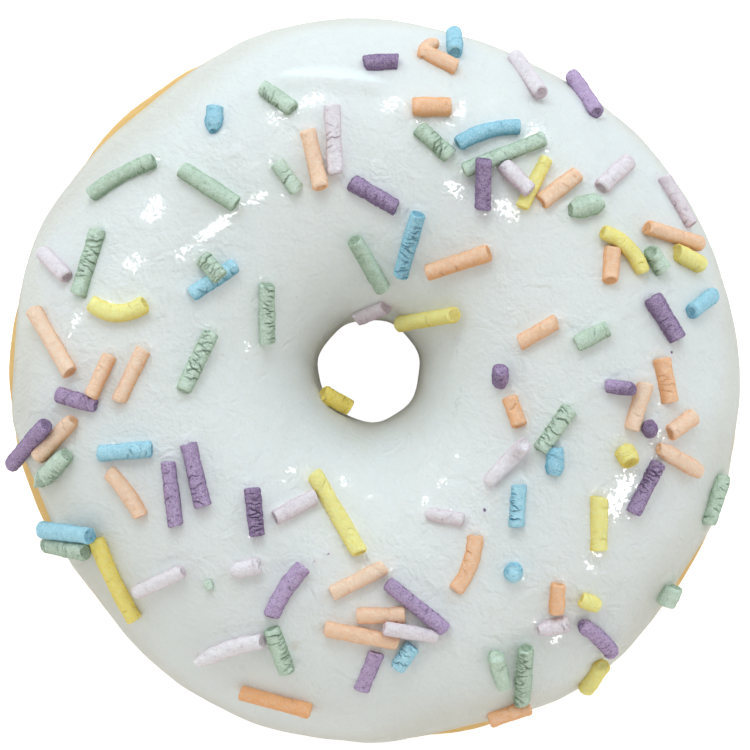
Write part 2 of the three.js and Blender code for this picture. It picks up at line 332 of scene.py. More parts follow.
# Pressed sugar: fine powdery grain with small pits and chalky dust. Painted shade darkens its pits, the
# troughs of its grain and what the strands paint as broken and shaded; Depth leads to its deeper colour,
# for its own strength and for painted shade on the underside
def makeSugarGrain():
    group, given, out = makeGroup(
        "sugarGrain",
        [("Place", "Vector", None), ("Colour", "Color", (0.8, 0.8, 0.8, 1)),
         ("Deep", "Color", (0.5, 0.5, 0.5, 1)), ("Chalk", "Float", 0.3), ("Depth", "Float", 0.3),
         ("BrokenAndShaded", "Float", 0.0), ("Pits", "Float", 0.5)],
        [("Colour", "Color"), ("Roughness", "Float"), ("Height", "Float")])
    fine = noisePattern(group, given["Place"], 4.5, roughness=0.75)["Fac"]
    coarse = noisePattern(group, given["Place"], 1.4, roughness=0.6)["Fac"]
    cells = addNode(group, "TexVoronoi", {"Vector": given["Place"], "Scale": 1.9 / mm}).outputs["Distance"]
    # painted shade: darker in the pits and in the troughs of the fine grain
    pit = times(group, rescale(group, cells, 0.22, 0.05, 0.0, 1.0), given["Pits"])
    trough = times(group, rescale(group, fine, 0.48, 0.28, 0.0, 0.6), given["Pits"])
    shade = times(group, given["BrokenAndShaded"], 0.6)
    for more in (rescale(group, coarse, 0.35, 0.7, 0.0, 0.2), times(group, pit, 0.8), trough):
        shade = plus(group, shade, more)
    shade = plus(group, shade, given["Depth"], clamp=True)
    body = blendColours(group, shade, given["Colour"], given["Deep"])
    # painted shade: darker still, towards black, where the strand is broken and shaded
    body = blendColours(group, times(group, given["BrokenAndShaded"], 0.25), body, (0, 0, 0, 1))
    dust = times(group, rescale(group, fine, 0.45, 0.75, 0.0, 1.0), given["Chalk"])
    group.links.new(blendColours(group, dust, body, (0.93, 0.93, 0.92, 1)), out["Colour"])
    group.links.new(rescale(group, coarse, 0.3, 0.7, 0.62, 0.85), out["Roughness"])
    relief = plus(group, times(group, fine, 0.6), times(group, coarse, 0.8))
    group.links.new(minus(group, relief, times(group, pit, 0.5)), out["Height"])
    return group


patchyColour = makePatchyColour()
hairLines = makeHairLines()
sugarGrain = makeSugarGrain()
print("shader groups ready")


def newMaterial(name, **fixed):
    material = bpy.data.materials.new(name)
    material.use_nodes = True
    shader = material.node_tree.nodes["Principled BSDF"]
    for label, value in fixed.items():
        shader.inputs[label].default_value = value
    place = addNode(material.node_tree, "TexCoord").outputs["Object"]
    return material, material.node_tree, shader, place


def placeGroup(tree, group, inputs):
    node = tree.nodes.new("ShaderNodeGroup")
    node.node_tree = group
    fillInputs(tree, node, inputs)
    return node.outputs


def bumpInto(tree, shader, height, distance, strength):
    bump = addNode(tree, "Bump", {"Height": height, "Distance": distance * mm, "Strength": strength})
    tree.links.new(bump.outputs["Normal"], shader.inputs["Normal"])


# Pressed sugar strands. Each row: x, y of the middle, heading, length seen from above, options.
# wide: width. bow: bend to the left of the heading. ribbon: flattened. flat: height for its width.
# rise: height of each end above its place on the icing, where it lies on others. stand: height of
# one on its end. torn: how cracked, with from where to where where that isn't its whole length.
# pitted: how many pits. deep: how strong its colour is. pale: no painted shade on its broken ends.
# taper: how much each end narrows. curl: how far each end bends up. lump: how misshapen. round:
# rounding of its ends, where it isn't left to chance. hollow: depth of the dent in its second end.
# facets: number of flat sides, and how they are turned.
strands = {
    "sage": [
        (16.1, 27.8, 22, 10.8, {"torn": 0.25}),
        (-30.8, 25.0, 28, 8.9, {"bow": 0.38, "torn": (0.45, 0.7, 1.0)}),
        (-35.0, 14.6, -107, 8.5, {"torn": (1.0, 0.1, 0.75), "flat": 0.75}),
        (-21.5, 2.4, -116, 8.0, {"torn": (0.9, 0.0, 0.8)}),
        (-20.1, 23.8, -33, 8.0, {"wide": 2.2, "torn": 0, "hollow": 0.5, "deep": 0.3}),
        (-13.0, 8.2, -90, 7.3, {"torn": 0.75}),
        (-0.5, 14.2, -60, 7.1, {"torn": (0.15, 0.0, 0.3), "deep": 0.2}),
        (18.6, -36.3, -93, 7.0, {"torn": 1.0}),
        (42.4, -14.7, -108, 6.5, {"torn": (0.5, 0.1, 0.9), "flat": 0.8}),
        (22.3, -5.9, -125, 6.4, {"torn": 0.9, "deep": 0.15}),
        (-11.5, -33.1, -71, 5.9, {"torn": (1.0, 0.1, 1.0)}),
        (-39.7, -11.0, 43, 5.7, {"wide": 2.4, "torn": (0.9, 0.0, 0.8), "taper": (0.75, 0.1),
         "lump": 0.45, "deep": 0.05}),
        (7.5, 29.3, -42, 5.3, {"torn": (0.8, 0.3, 0.9)}),
        (-38.0, -20.7, -7, 5.2, {"torn": 0.9, "lump": 0.3}),
        (-11.7, 34.7, -36, 4.7, {"torn": (1.0, 0.15, 0.75)}),
        (15.6, -35.7, -74, 4.7, {"torn": 0.05, "taper": (0, 0.2), "curl": (0.5, 0), "deep": 0.1,
         "pale": True}),
        (26.8, 5.5, 27, 4.4, {"torn": (0.3, 0.3, 1.0)}),
        (-10.5, 25.0, -54, 4.4, {"torn": (0.5, 0.3, 1.0)}),
        (26.2, 21.5, 14, 4.2, {"wide": 2.4, "lump": 0.15, "facets": (5, 20), "torn": 0,
         "taper": (0.25, 0.4), "round": 0.15}),
        (-19.8, 13.9, -48, 3.5, {"rise": (0, 1.4), "torn": 1.0, "deep": 0.15}),
        (34.9, 14.7, -57, 3.0, {"wide": 2.2, "torn": 0.3, "deep": 0.1, "curl": (1.1, 0)}),
        (36.7, -26.5, -117, 2.4, {"wide": 2.7, "lump": 0.5, "torn": 0.05}),
    ],
    "blue": [
        (14.2, 30.1, 16, 8.0, {"bow": 0.62, "deep": 0.35}),
        (4.4, 16.6, -106, 8.0, {"torn": (0.8, 0.1, 1.0)}),
        (-30.4, -8.6, 5, 6.7, {"torn": (0.5, 0.5, 1.0)}),
        (-19.5, 12.4, 34, 6.6, {"torn": (0.45, 0.1, 0.9)}),
        (-37.9, -18.7, -5, 6.3, {"rise": (0.4, 0.2)}),
        (17.7, -15.3, -94, 5.2, {"torn": (1.0, 0.1, 0.9)}),
        (40.6, 9.6, 36, 3.7, {"torn": (0.3, 0.4, 1.0)}),
        (3.9, -33.9, -124, 3.5, {"torn": 0.8}),
        (22.3, -9.8, -96, 3.4, {"wide": 2.05, "lump": 0.4, "facets": (5, 10), "taper": (0.2, 0.2),
         "round": 0.14, "deep": 0.35, "pitted": 1.0}),
        (-19.5, 32.2, -94, 3.1, {"wide": 2.05, "lump": 0.35, "facets": (6, 0), "taper": (0.1, 0.5),
         "torn": 0, "round": 0.14, "deep": 0.35, "pitted": 1.0}),
        (10.1, 41.9, -88, 2.6, {"deep": 0.3}),
        (17.2, -23.4, 90, 0.3, {"wide": 2.3, "stand": 2.0, "round": 0.45, "torn": 0.3, "deep": 0.05,
         "pitted": 1.2, "pale": True}),
    ],
    "peach": [
        (-1.4, -31.2, -11, 9.1, {"deep": 0.35}),
        (-12.0, -39.6, -15, 9.0, {"deep": 0.85}),
        (-39.5, 4.9, -59, 9.0, {}),
        (10.4, 14.5, 18, 8.0, {"deep": 0.45, "torn": 0.15}),
        (-7.2, 27.2, -77, 7.4, {"deep": 0.25, "curl": (0, 0.8)}),
        (-1.8, -24.4, 27, 7.4, {}),
        (11.3, -22.3, -110, 7.3, {"bow": 0.62, "ribbon": True, "torn": (0.35, 0.2, 0.7), "deep": 0.55}),
        (37.1, 17.9, -16, 7.1, {"deep": 0.4}),
        (-29.6, 0.7, -116, 7.1, {}),
        (-30.4, -13.8, -54, 6.8, {"bow": 0.25, "deep": 0.3}),
        (-39.1, -7.1, 46, 6.6, {"taper": (0.05, 0.1), "torn": (0.1, 0.7, 1.0)}),
        (37.7, -9.7, -30, 6.1, {"taper": (0.3, 0.2)}),
        (32.5, -3.1, -107, 6.0, {"deep": 0.15}),
        (1.0, -28.7, 1, 5.9, {"deep": 0.3}),
        (22.9, 23.7, -142, 5.8, {"deep": 0.3}),
        (-33.4, 0.6, -115, 5.7, {"wide": 1.8, "rise": (0, 1.0)}),
        (35.9, 0.1, -79, 5.5, {"wide": 2.3, "ribbon": True, "torn": (0.6, 0.35, 0.8), "deep": 0.6}),
        (16.9, -41.1, 18, 5.4, {"deep": 0.65}),
        (20.2, 6.0, 30, 5.3, {"deep": 0.4, "torn": (0.2, 0.5, 1.0)}),
        (7.2, 33.6, 0, 4.8, {"wide": 2.3, "deep": 0.6}),
        (8.2, 39.6, -26, 4.7, {"deep": 0.4, "taper": (0.25, 0)}),
        (29.2, 14.3, -95, 4.2, {"deep": 0.5, "curl": (0, 0.5)}),
        (38.0, -5.3, 35, 3.9, {}),
        (17.3, -3.7, -70, 3.9, {"deep": 0.6, "torn": (0.2, 0.0, 0.5)}),
        (22.6, -26.7, -93, 3.7, {"deep": 0.6}),
        (7.0, 40.8, 47, 2.4, {"wide": 1.6, "bow": 0.6, "deep": 0.35, "torn": 0}),
    ],
    "lilac": [
        (-17.7, -33.4, 20, 8.8, {"wide": 2.1, "bow": 0.44, "taper": (0.5, 0.1), "lump": 0.3}),
        (-4.8, 29.6, -87, 8.5, {"torn": (0.5, 0.25, 0.75), "pitted": 1.0}),
        (37.7, 22.3, -60, 7.0, {"torn": (0.3, 0.3, 1.0), "pitted": 1.4, "deep": 0.35}),
        (16.3, -10.1, 47, 6.8, {"taper": (0.15, 0.0), "curl": (0, 2.1), "hollow": 0.45, "pale": True}),
        (-26.3, -24.7, 25, 6.6, {"wide": 1.8}),
        (4.6, -30.8, -10, 6.6, {"wide": 1.8, "rise": (1.7, 0), "torn": (0.15, 0.0, 0.3)}),
        (19.2, 37.8, -57, 6.2, {"deep": 0.25, "curl": (0, 0.5)}),
        (-9.5, -15.4, 28, 5.7, {"torn": (0.2, 0.0, 0.5)}),
        (29.8, 25.5, 43, 5.0, {"deep": 0.25}),
        (8.8, -16.6, -10, 4.7, {"wide": 1.8, "taper": (0.3, 0.0)}),
        (17.6, 24.9, -45, 4.7, {"rise": (0.4, 1.5)}),
        (-39.3, 14.4, -44, 4.6, {"wide": 1.8}),
        (22.2, -30.2, 13, 3.9, {"taper": (0.45, 0.0), "torn": (0.6, 0.6, 1.0)}),
        (-0.1, 8.6, 21, 3.7, {"facets": (4, 20), "deep": 0.3, "pitted": 1.0, "round": 0.15}),
        (-15.6, -22.9, 13, 3.7, {"taper": (0.5, 0.0), "torn": (0.6, 0.7, 1.0)}),
    ],
    "purple": [
        (5.3, -27.6, -39, 9.3, {"torn": (0.4, 0.35, 0.7), "curl": (0.5, 0), "pitted": 1.4}),
        (-21.7, -11.5, -77, 7.9, {"torn": (0.5, 0.5, 1.0)}),
        (-24.6, -13.8, -83, 7.9, {"torn": 0.2}),
        (-10.5, -25.8, -123, 7.4, {"bow": -0.38}),
        (33.5, -13.1, -117, 7.1, {"torn": (1.0, 0.0, 0.6), "deep": 0.5, "flat": 0.8}),
        (-42.5, -7.9, 47, 6.9, {"torn": (0.2, 0.5, 1.0), "deep": 0.4}),
        (0.1, 22.8, -30, 6.5, {"torn": (0.35, 0.3, 1.0), "pitted": 1.6, "deep": 0.5}),
        (35.8, 7.7, -58, 6.2, {"wide": 2.2, "facets": (5, 50), "torn": (0.35, 0.45, 0.75), "deep": 0.5}),
        (13.5, 24.1, -91, 6.1, {"facets": (4, 45), "rise": (1.9, 0), "deep": 0.5}),
        (26.3, 35.5, -59, 6.0, {"torn": (0.25, 0.3, 0.7), "curl": (0, 0.5)}),
        (-14.5, -16.0, -84, 5.9, {"torn": (1.0, 0.1, 1.0), "deep": 0.6}),
        (27.7, -31.9, -44, 5.5, {"bow": 0.31, "round": 0.7, "torn": (0.6, 0.6, 0.9), "pitted": 1.5}),
        (-0.5, -35.7, -112, 5.2, {"ribbon": True}),
        (-36.4, -2.3, -16, 5.1, {"torn": (0.5, 0.3, 0.9), "deep": 0.3, "pitted": 1.6}),
        (1.0, 39.2, 3, 4.2, {"deep": 0.65}),
        (30.2, -0.8, -7, 3.4, {"wide": 1.8, "rise": (-0.2, 1.1), "curl": (0, 1.4), "deep": 0.3}),
        (15.6, 0.6, 90, 1.6, {"stand": 2.6, "deep": 0.35, "round": 0.2, "pale": True}),
        (33.9, -5.9, 87, 1.0, {"stand": 2.2, "deep": 0.7, "pitted": 1.0, "round": 0.75}),
    ],
    "yellow": [
        (-4.4, -16.2, -60, 11.4, {"curl": (0, 0.5), "hollow": 0.35}),
        (-31.7, -24.5, -65, 11.1, {"bow": -0.25, "flat": 0.85, "deep": 0.5}),
        (30.6, 15.8, -45, 7.2, {"bow": 0.85, "curl": (0.8, 0)}),
        (19.8, 24.3, -117, 6.9, {"wide": 1.8}),
        (6.6, 7.6, 9, 6.8, {"torn": (0.3, 0.5, 1.0)}),
        (-31.3, 9.6, -2, 6.8, {"wide": 2.2, "bow": -1.25, "taper": (0.15, 0), "hollow": 0.4,
         "deep": 0.05, "torn": 0.1}),
        (27.7, -17.5, -90, 6.6, {"wide": 2.2, "ribbon": True}),
        (27.6, -36.6, -121, 4.4, {"curl": (0.9, 0), "pale": True, "deep": 0.1}),
        (-4.6, -2.4, -28, 3.9, {"deep": 0.75, "torn": 0.4}),
        (39.0, 15.1, -27, 3.6, {"wide": 2.2, "torn": (0.2, 0.5, 1.0)}),
        (31.0, -8.9, -62, 2.3, {"wide": 2.4, "lump": 0.2, "taper": (0.5, 0), "curl": (0, 0.7),
         "hollow": 0.5}),
        (26.6, -27.2, -23, 2.3, {}),
    ],
}

# Crumbs that broke off: kind, x, y, width, strength of colour
crumbs = [
    ("sage", -20.1, -25.0, 1.1, 0.0), ("purple", -15.6, 35.0, 0.35, 1.0), ("purple", -16.7, 28.0, 0.3, 1.0),
    ("purple", 13.7, -15.8, 0.3, 1.0), ("purple", -5.5, -21.2, 0.3, 1.0), ("purple", 10.4, 5.3, 0.25, 1.0),
    ("lilac", -7.1, -22.0, 0.35, 0.3), ("purple", 36.6, 3.5, 0.3, 0.9),
]

strandForm = {
    "width": 2.0,
    "plumpness": 0.04,           # how much thicker or thinner than that a strand may be, as a share
    "ribbonHeight": 0.6,         # height of a flattened strand for its width
    "sink": 0.38,                # share of the radius that lies in the icing
    "rimLimit": 0.985,           # share of the ring's section beyond which its height stays as it is
    "skinRound": 360,            # points round and across the icing on which the strands settle
    "skinRows": 100,
    "settleRounds": 8,
    "settlePlaces": 9,           # along a strand, where its depth in the icing is taken
    "settleSlack": 0.12,         # how much deeper than its rest a strand may lie
    "settleShare": 0.8,          # share of the missing height that one round gives it
    "settleSteepest": 0.5,       # least upward part of the icing's normal that this reckons with
    "drawSeed": 7,
    "reliefSeed": 41,
    "sides": 30,
    "ringGap": 0.073,            # between the rings of the mesh
    "fewestRings": 10,
    "rimAngles": (90, 62, 34, 0),    # of the rings on the rounding at each end
    "rimRound": (0.16, 0.42),    # rounding where the side meets an end, least and most
    "drift": ((0.03, 2.6), (0.02, 6)),       # size and number of the waves in its width, along it
    "oval": ((0.04, 2), (0.018, 3)),         # and round it
    "taperFrom": (0.25, 1.0),    # from where to where an end narrows, with 0 at the middle
    "leanFrom": (0.6, 1.0),      # the same for the rings that lean towards a slanting end
    "lean": 0.16,
    "lumpSize": 1.1,             # between the soft dents in its skin
    "crackGap": 0.42,
    "crackDepth": 0.34,
    "crackWidth": 0.065,
    "crackSlant": 0.4,
    "crackWaves": ((0.12, 3), (0.06, 7)),    # size and number of the waves in a crack
    "crackEdge": (20, 50),       # turn from the top to the edge along which most cracks lie
    "shortSpan": (22, 50),       # how far round they reach to each side
    "longCracks": 0.3,           # share of the cracks that run far round, their middle and reach
    "longMiddle": (50, 130),
    "longSpan": (55, 100),
    "pitDepth": 0.2,
    "pitSize": (0.09, 0.2),
    "pitsPerLength": 2.2,
    "facetSpread": 1.25,         # widens faceted strands to the thickness of round ones
    "facetShare": 0.65,          # how much of a facet's flatness shows
    "cleftTint": 0.26,           # depth at which the painted shade in a crack is darkest
    "cleftShade": 0.95,
    "endRings": (0.86, 0.6, 0.3),    # of the broken ends, as shares of their rims
    # painted shade on the broken ends
    "endShade": 0.85,
    "endCrags": 0.16,            # relief of the broken ends
    "standCrags": 0.32,          # the same where an end faces up
    "cragShade": 4,              # painted shade in the dents of that relief, for their depth
    "sideShade": 0.85,           # painted shade on the side that faces the hole and the bottom of the ring
    "holePull": 0.02,            # how strongly: the hole for each millimetre to it, the bottom always
    "bottomPull": 0.55,
    "undersideShade": 0.5,            # painted shade: deeper colour towards the underside
    "crumbFlat": 0.8,
    "crumbRound": 0.7,
    "crumbLump": 0.3,
}


# Lehmer's generator, the one that the solid model uses for how plump each strand is
def steadyDraws(seed):
    multiplier, modulus = 16807, 2147483647
    state = seed
    while True:
        state = state * multiplier % modulus
        yield state / modulus


# Height of the axis of a strand that rests on the icing at this place
def restingHeight(x, y, radius):
    bearing = math.atan2(y - ring["holeY"], x - ring["holeX"])
    distance = math.hypot(x - ring["holeX"], y - ring["holeY"])
    rest = radius * (1 - strandForm["sink"])
    outer = icedRadius(bearing) + rest
    inner = icedHoleRadius(bearing) - rest
    across = abs(distance - (outer + inner) / 2) / ((outer - inner) / 2)
    up = (1 - min(across, strandForm["rimLimit"]) ** ring["roundness"]) ** (1 / ring["roundness"])
    return ring["bellyHeight"] + up * (crownHeight(bearing) + glaze["gap"] + glaze["topDepth"] + rest)


def strandEnds(x, y, heading, length, radius, options):
    forward = Vector((math.cos(heading * degree), math.sin(heading * degree), 0))
    ends = [Vector((x, y, 0)) + forward * length * side for side in (-0.5, 0.5)]
    stand = options.get("stand", 0)
    if stand:
        ends[0].z = restingHeight(x, y, radius) - radius
        ends[1].z = ends[0].z + stand
        return ends
    heights = [restingHeight(end.x, end.y, radius) for end in ends]
    dome = (restingHeight(x, y, radius) - sum(heights) / 2) / 2
    for end, height, rise in zip(ends, heights, options.get("rise", (0, 0))):
        end.z = height + dome + rise
    return ends


# The icing's skin as points with normals, coarse, to lay the strands on
def icingSkin():
    form = strandForm
    bearings = np.linspace(0, fullTurn, form["skinRound"], endpoint=False)
    points, normals = icingFace(*np.meshgrid(bearings, np.linspace(0, 1, form["skinRows"])))
    return pointTree(points), normals


# Lifts the ends of a strand until no part of it lies deeper in the icing than it should
def settle(start, end, rest, skin):
    tree, normals = skin
    form = strandForm
    for _ in range(form["settleRounds"]):
        worst = (0.0, 0.5, 1.0)
        for share in np.linspace(0, 1, form["settlePlaces"]):
            point = start.lerp(end, float(share))
            near, index, _ = tree.find(point)
            normal = Vector(normals[index])
            short = rest - (point - near).dot(normal)
            if short > worst[0]:
                worst = (short, float(share), max(form["settleSteepest"], normal.z))
        short, share, upness = worst
        if short < form["settleSlack"]:
            break
        lift = form["settleShare"] * short / upness / (share ** 2 + (1 - share) ** 2)
        start.z += lift * (1 - share)
        end.z += lift * share


def placeStrands():
    draws = steadyDraws(strandForm["drawSeed"])
    skin = icingSkin()
    placed = []
    for kind, rows in strands.items():
        for x, y, heading, length, options in rows:
            plump = 1 + strandForm["plumpness"] * (2 * next(draws) - 1)
            next(draws)          # the solid model rolls its faceted strands by this one
            radius = options.get("wide", strandForm["width"]) / 2 * plump
            flat = strandForm["ribbonHeight"] if options.get("ribbon") else 1.0
            start, end = strandEnds(x, y, heading, length, radius * flat, options)
            if "stand" not in options:
                settle(start, end, radius * flat * (1 - strandForm["sink"]), skin)
            forward = (end - start).normalized()
            right = Vector((math.sin(heading * degree), -math.cos(heading * degree), 0))
            placed.append({
                "kind": kind, "start": start, "end": end, "radius": radius, "flat": flat,
                "forward": forward, "right": right, "upward": right.cross(forward).normalized(),
                "reach": (end - start).length, "options": options,
            })
    for kind, x, y, width, strength in crumbs:
        radius = width / 2
        forward = Vector((math.cos(x), math.sin(x), 0))
        middle = Vector((x, y, restingHeight(x, y, radius)))
        placed.append({
            "kind": kind, "start": middle - forward * radius, "end": middle + forward * radius,
            "radius": radius, "flat": strandForm["crumbFlat"], "forward": forward,
            "right": Vector((forward.y, -forward.x, 0)), "upward": Vector((0, 0, 1)), "reach": width,
            "options": {"deep": strength, "round": strandForm["crumbRound"] * radius,
                        "lump": strandForm["crumbLump"], "torn": 0, "pitted": 0},
        })
    return placed


placedStrands = placeStrands()
print("strands placed:", len(placedStrands))


# Middle line of a strand at places from -1 to 1 along it, with the way it points there
def strandLine(strand, share):
    bow = strand["options"].get("bow", 0)
    half = strand["reach"] / 2
    middle = (strand["start"] + strand["end"]) / 2
    point = middle + strand["forward"] * half * share - strand["right"] * bow * (1 - share * share)
    pointing = strand["forward"] * half + strand["right"] * 2 * bow * share
    for way, curl in zip((-1, 1), strand["options"].get("curl", (0, 0))):
        towardsEnd = max(0.0, way * share)
        point += strand["upward"] * curl * towardsEnd ** 2
        pointing += strand["upward"] * 2 * curl * way * towardsEnd
    return point, pointing.normalized()


doughLook = {
    "roundSteps": 520,
    "coveredRows": 40,
    "bareRows": 110,
    "swell": 0.22,               # slow unevenness
    "swellSize": 6.5,
    "wrinkle": 0.07,
    "wrinkleSize": 1.8,
    "coveredShare": 0.5,         # how much of its dips shows under the icing
    "footFade": (0.05, 1.5),     # heights between which the unevenness starts above the flat foot
    "waterline": 10.2,           # height of the pale band that stood above the oil
    "waterlineDip": 0.2,
    "waterlineWidth": 1.1,
    "waterlineWander": 2.0,
    "bandWander": 7,             # how far the band's colour strays up and down
    "topFade": (-1.0, 3.5),      # heights from the waterline where the band fades into the top
    "underFade": (-1.5, -4.0),   # and into the foot
    "creaseShade": 0.09,
    "poreShade": 0.3,
    "topColour": (0.87, 0.56, 0.17, 1),
    "topDeep": (0.74, 0.42, 0.09, 1),
    "bandColour": (0.86, 0.68, 0.4, 1),
    "underColour": (0.5, 0.25, 0.085, 1),
    "underDeep": (0.34, 0.145, 0.045, 1),
}


def friedDoughMaterial():
    look = doughLook
    material, tree, shader, place = newMaterial("friedDough")
    height = addNode(tree, "SeparateXYZ", {0: place}).outputs["Z"]
    wobble = minus(tree, noisePattern(tree, place, 0.12, detail=3.0)["Fac"], 0.5)
    level = plus(tree, height, times(tree, wobble, look["bandWander"] * mm))
    colour = look["bandColour"]
    for part, size, contrast in (("top", 3.5, 1.9), ("under", 2.4, 1.2)):
        patches = placeGroup(tree, patchyColour, {"Place": place, "Light": look[part + "Colour"],
                                                  "Dark": look[part + "Deep"],
                                                  "Size": size, "Contrast": contrast})
        start, end = ((look["waterline"] + height) * mm for height in look[part + "Fade"])
        share = rescale(tree, level, start, end, 0.0, 1.0)
        colour = blendColours(tree, share, colour, patches["Colour"])
    pores = addNode(tree, "TexVoronoi", {"Vector": place, "Scale": 1.6 / mm}).outputs["Distance"]
    grain = noisePattern(tree, place, 2.5, detail=5.0, roughness=0.65)["Fac"]
    creasing = {"Place": place, "Size": 3.4, "Width": 0.55, "Wander": 0.8}
    creases = placeGroup(tree, hairLines, creasing)["Lines"]
    pore = rescale(tree, pores, 0.25, 0.02, 0.0, 1.0)
    relief = grain
    for dents, shade, depth in ((creases, look["creaseShade"], 0.35), (pore, look["poreShade"], 0.4)):
        colour = blendColours(tree, times(tree, dents, shade), colour, look["underDeep"])
        relief = minus(tree, relief, times(tree, dents, depth))
    roughness = rescale(tree, grain, 0.3, 0.7, 0.48, 0.66)
    fillInputs(tree, shader, {"Base Color": colour, "Roughness": roughness})
    bumpInto(tree, shader, relief, 0.22, 0.7)
    return material


def makeDough():
    look = doughLook
    bearing = np.linspace(0, fullTurn, look["roundSteps"], endpoint=False)
    covered = [coverTilt(bearing, share) for share in np.linspace(0, 1, look["coveredRows"])]
    bare = [mix(wallEdgeTilt(bearing), outerEdgeTilt(bearing) + fullTurn, share)
            for share in np.linspace(0, 1, look["bareRows"] + 1)[1:-1]]
    tilt = np.array(covered + bare)
    bearings = np.broadcast_to(bearing, tilt.shape)
    points = doughPoint(bearings, tilt).reshape(-1, 3)
    normals = doughNormal(bearings, tilt).reshape(-1, 3)
    isBare = np.repeat([False, True], [len(covered) * len(bearing), len(bare) * len(bearing)])
    swell = noiseAt(points, look["swellSize"]) * look["swell"]
    wrinkle = np.abs(noiseAt(points, look["wrinkleSize"], 9.0)) * look["wrinkle"]
    wander = noiseAt(points, 9.0, 4.0) * look["waterlineWander"]
    line = (points[:, 2] - look["waterline"] - wander) / look["waterlineWidth"]
    dip = look["waterlineDip"] * np.exp(-line ** 2)
    relief = np.where(isBare, swell - wrinkle - dip, np.minimum(0, swell) * look["coveredShare"])
    points = points + normals * (relief * smoothStep(points[:, 2], *look["footFade"]))[:, None]
    points[:, 2] = np.maximum(0, points[:, 2])
    piece = makePiece("doughRing", points, ringFaces(*tilt.shape), friedDoughMaterial())
    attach(piece, "root")
    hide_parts("dough")
    print("dough made:", len(piece.data.polygons), "faces")


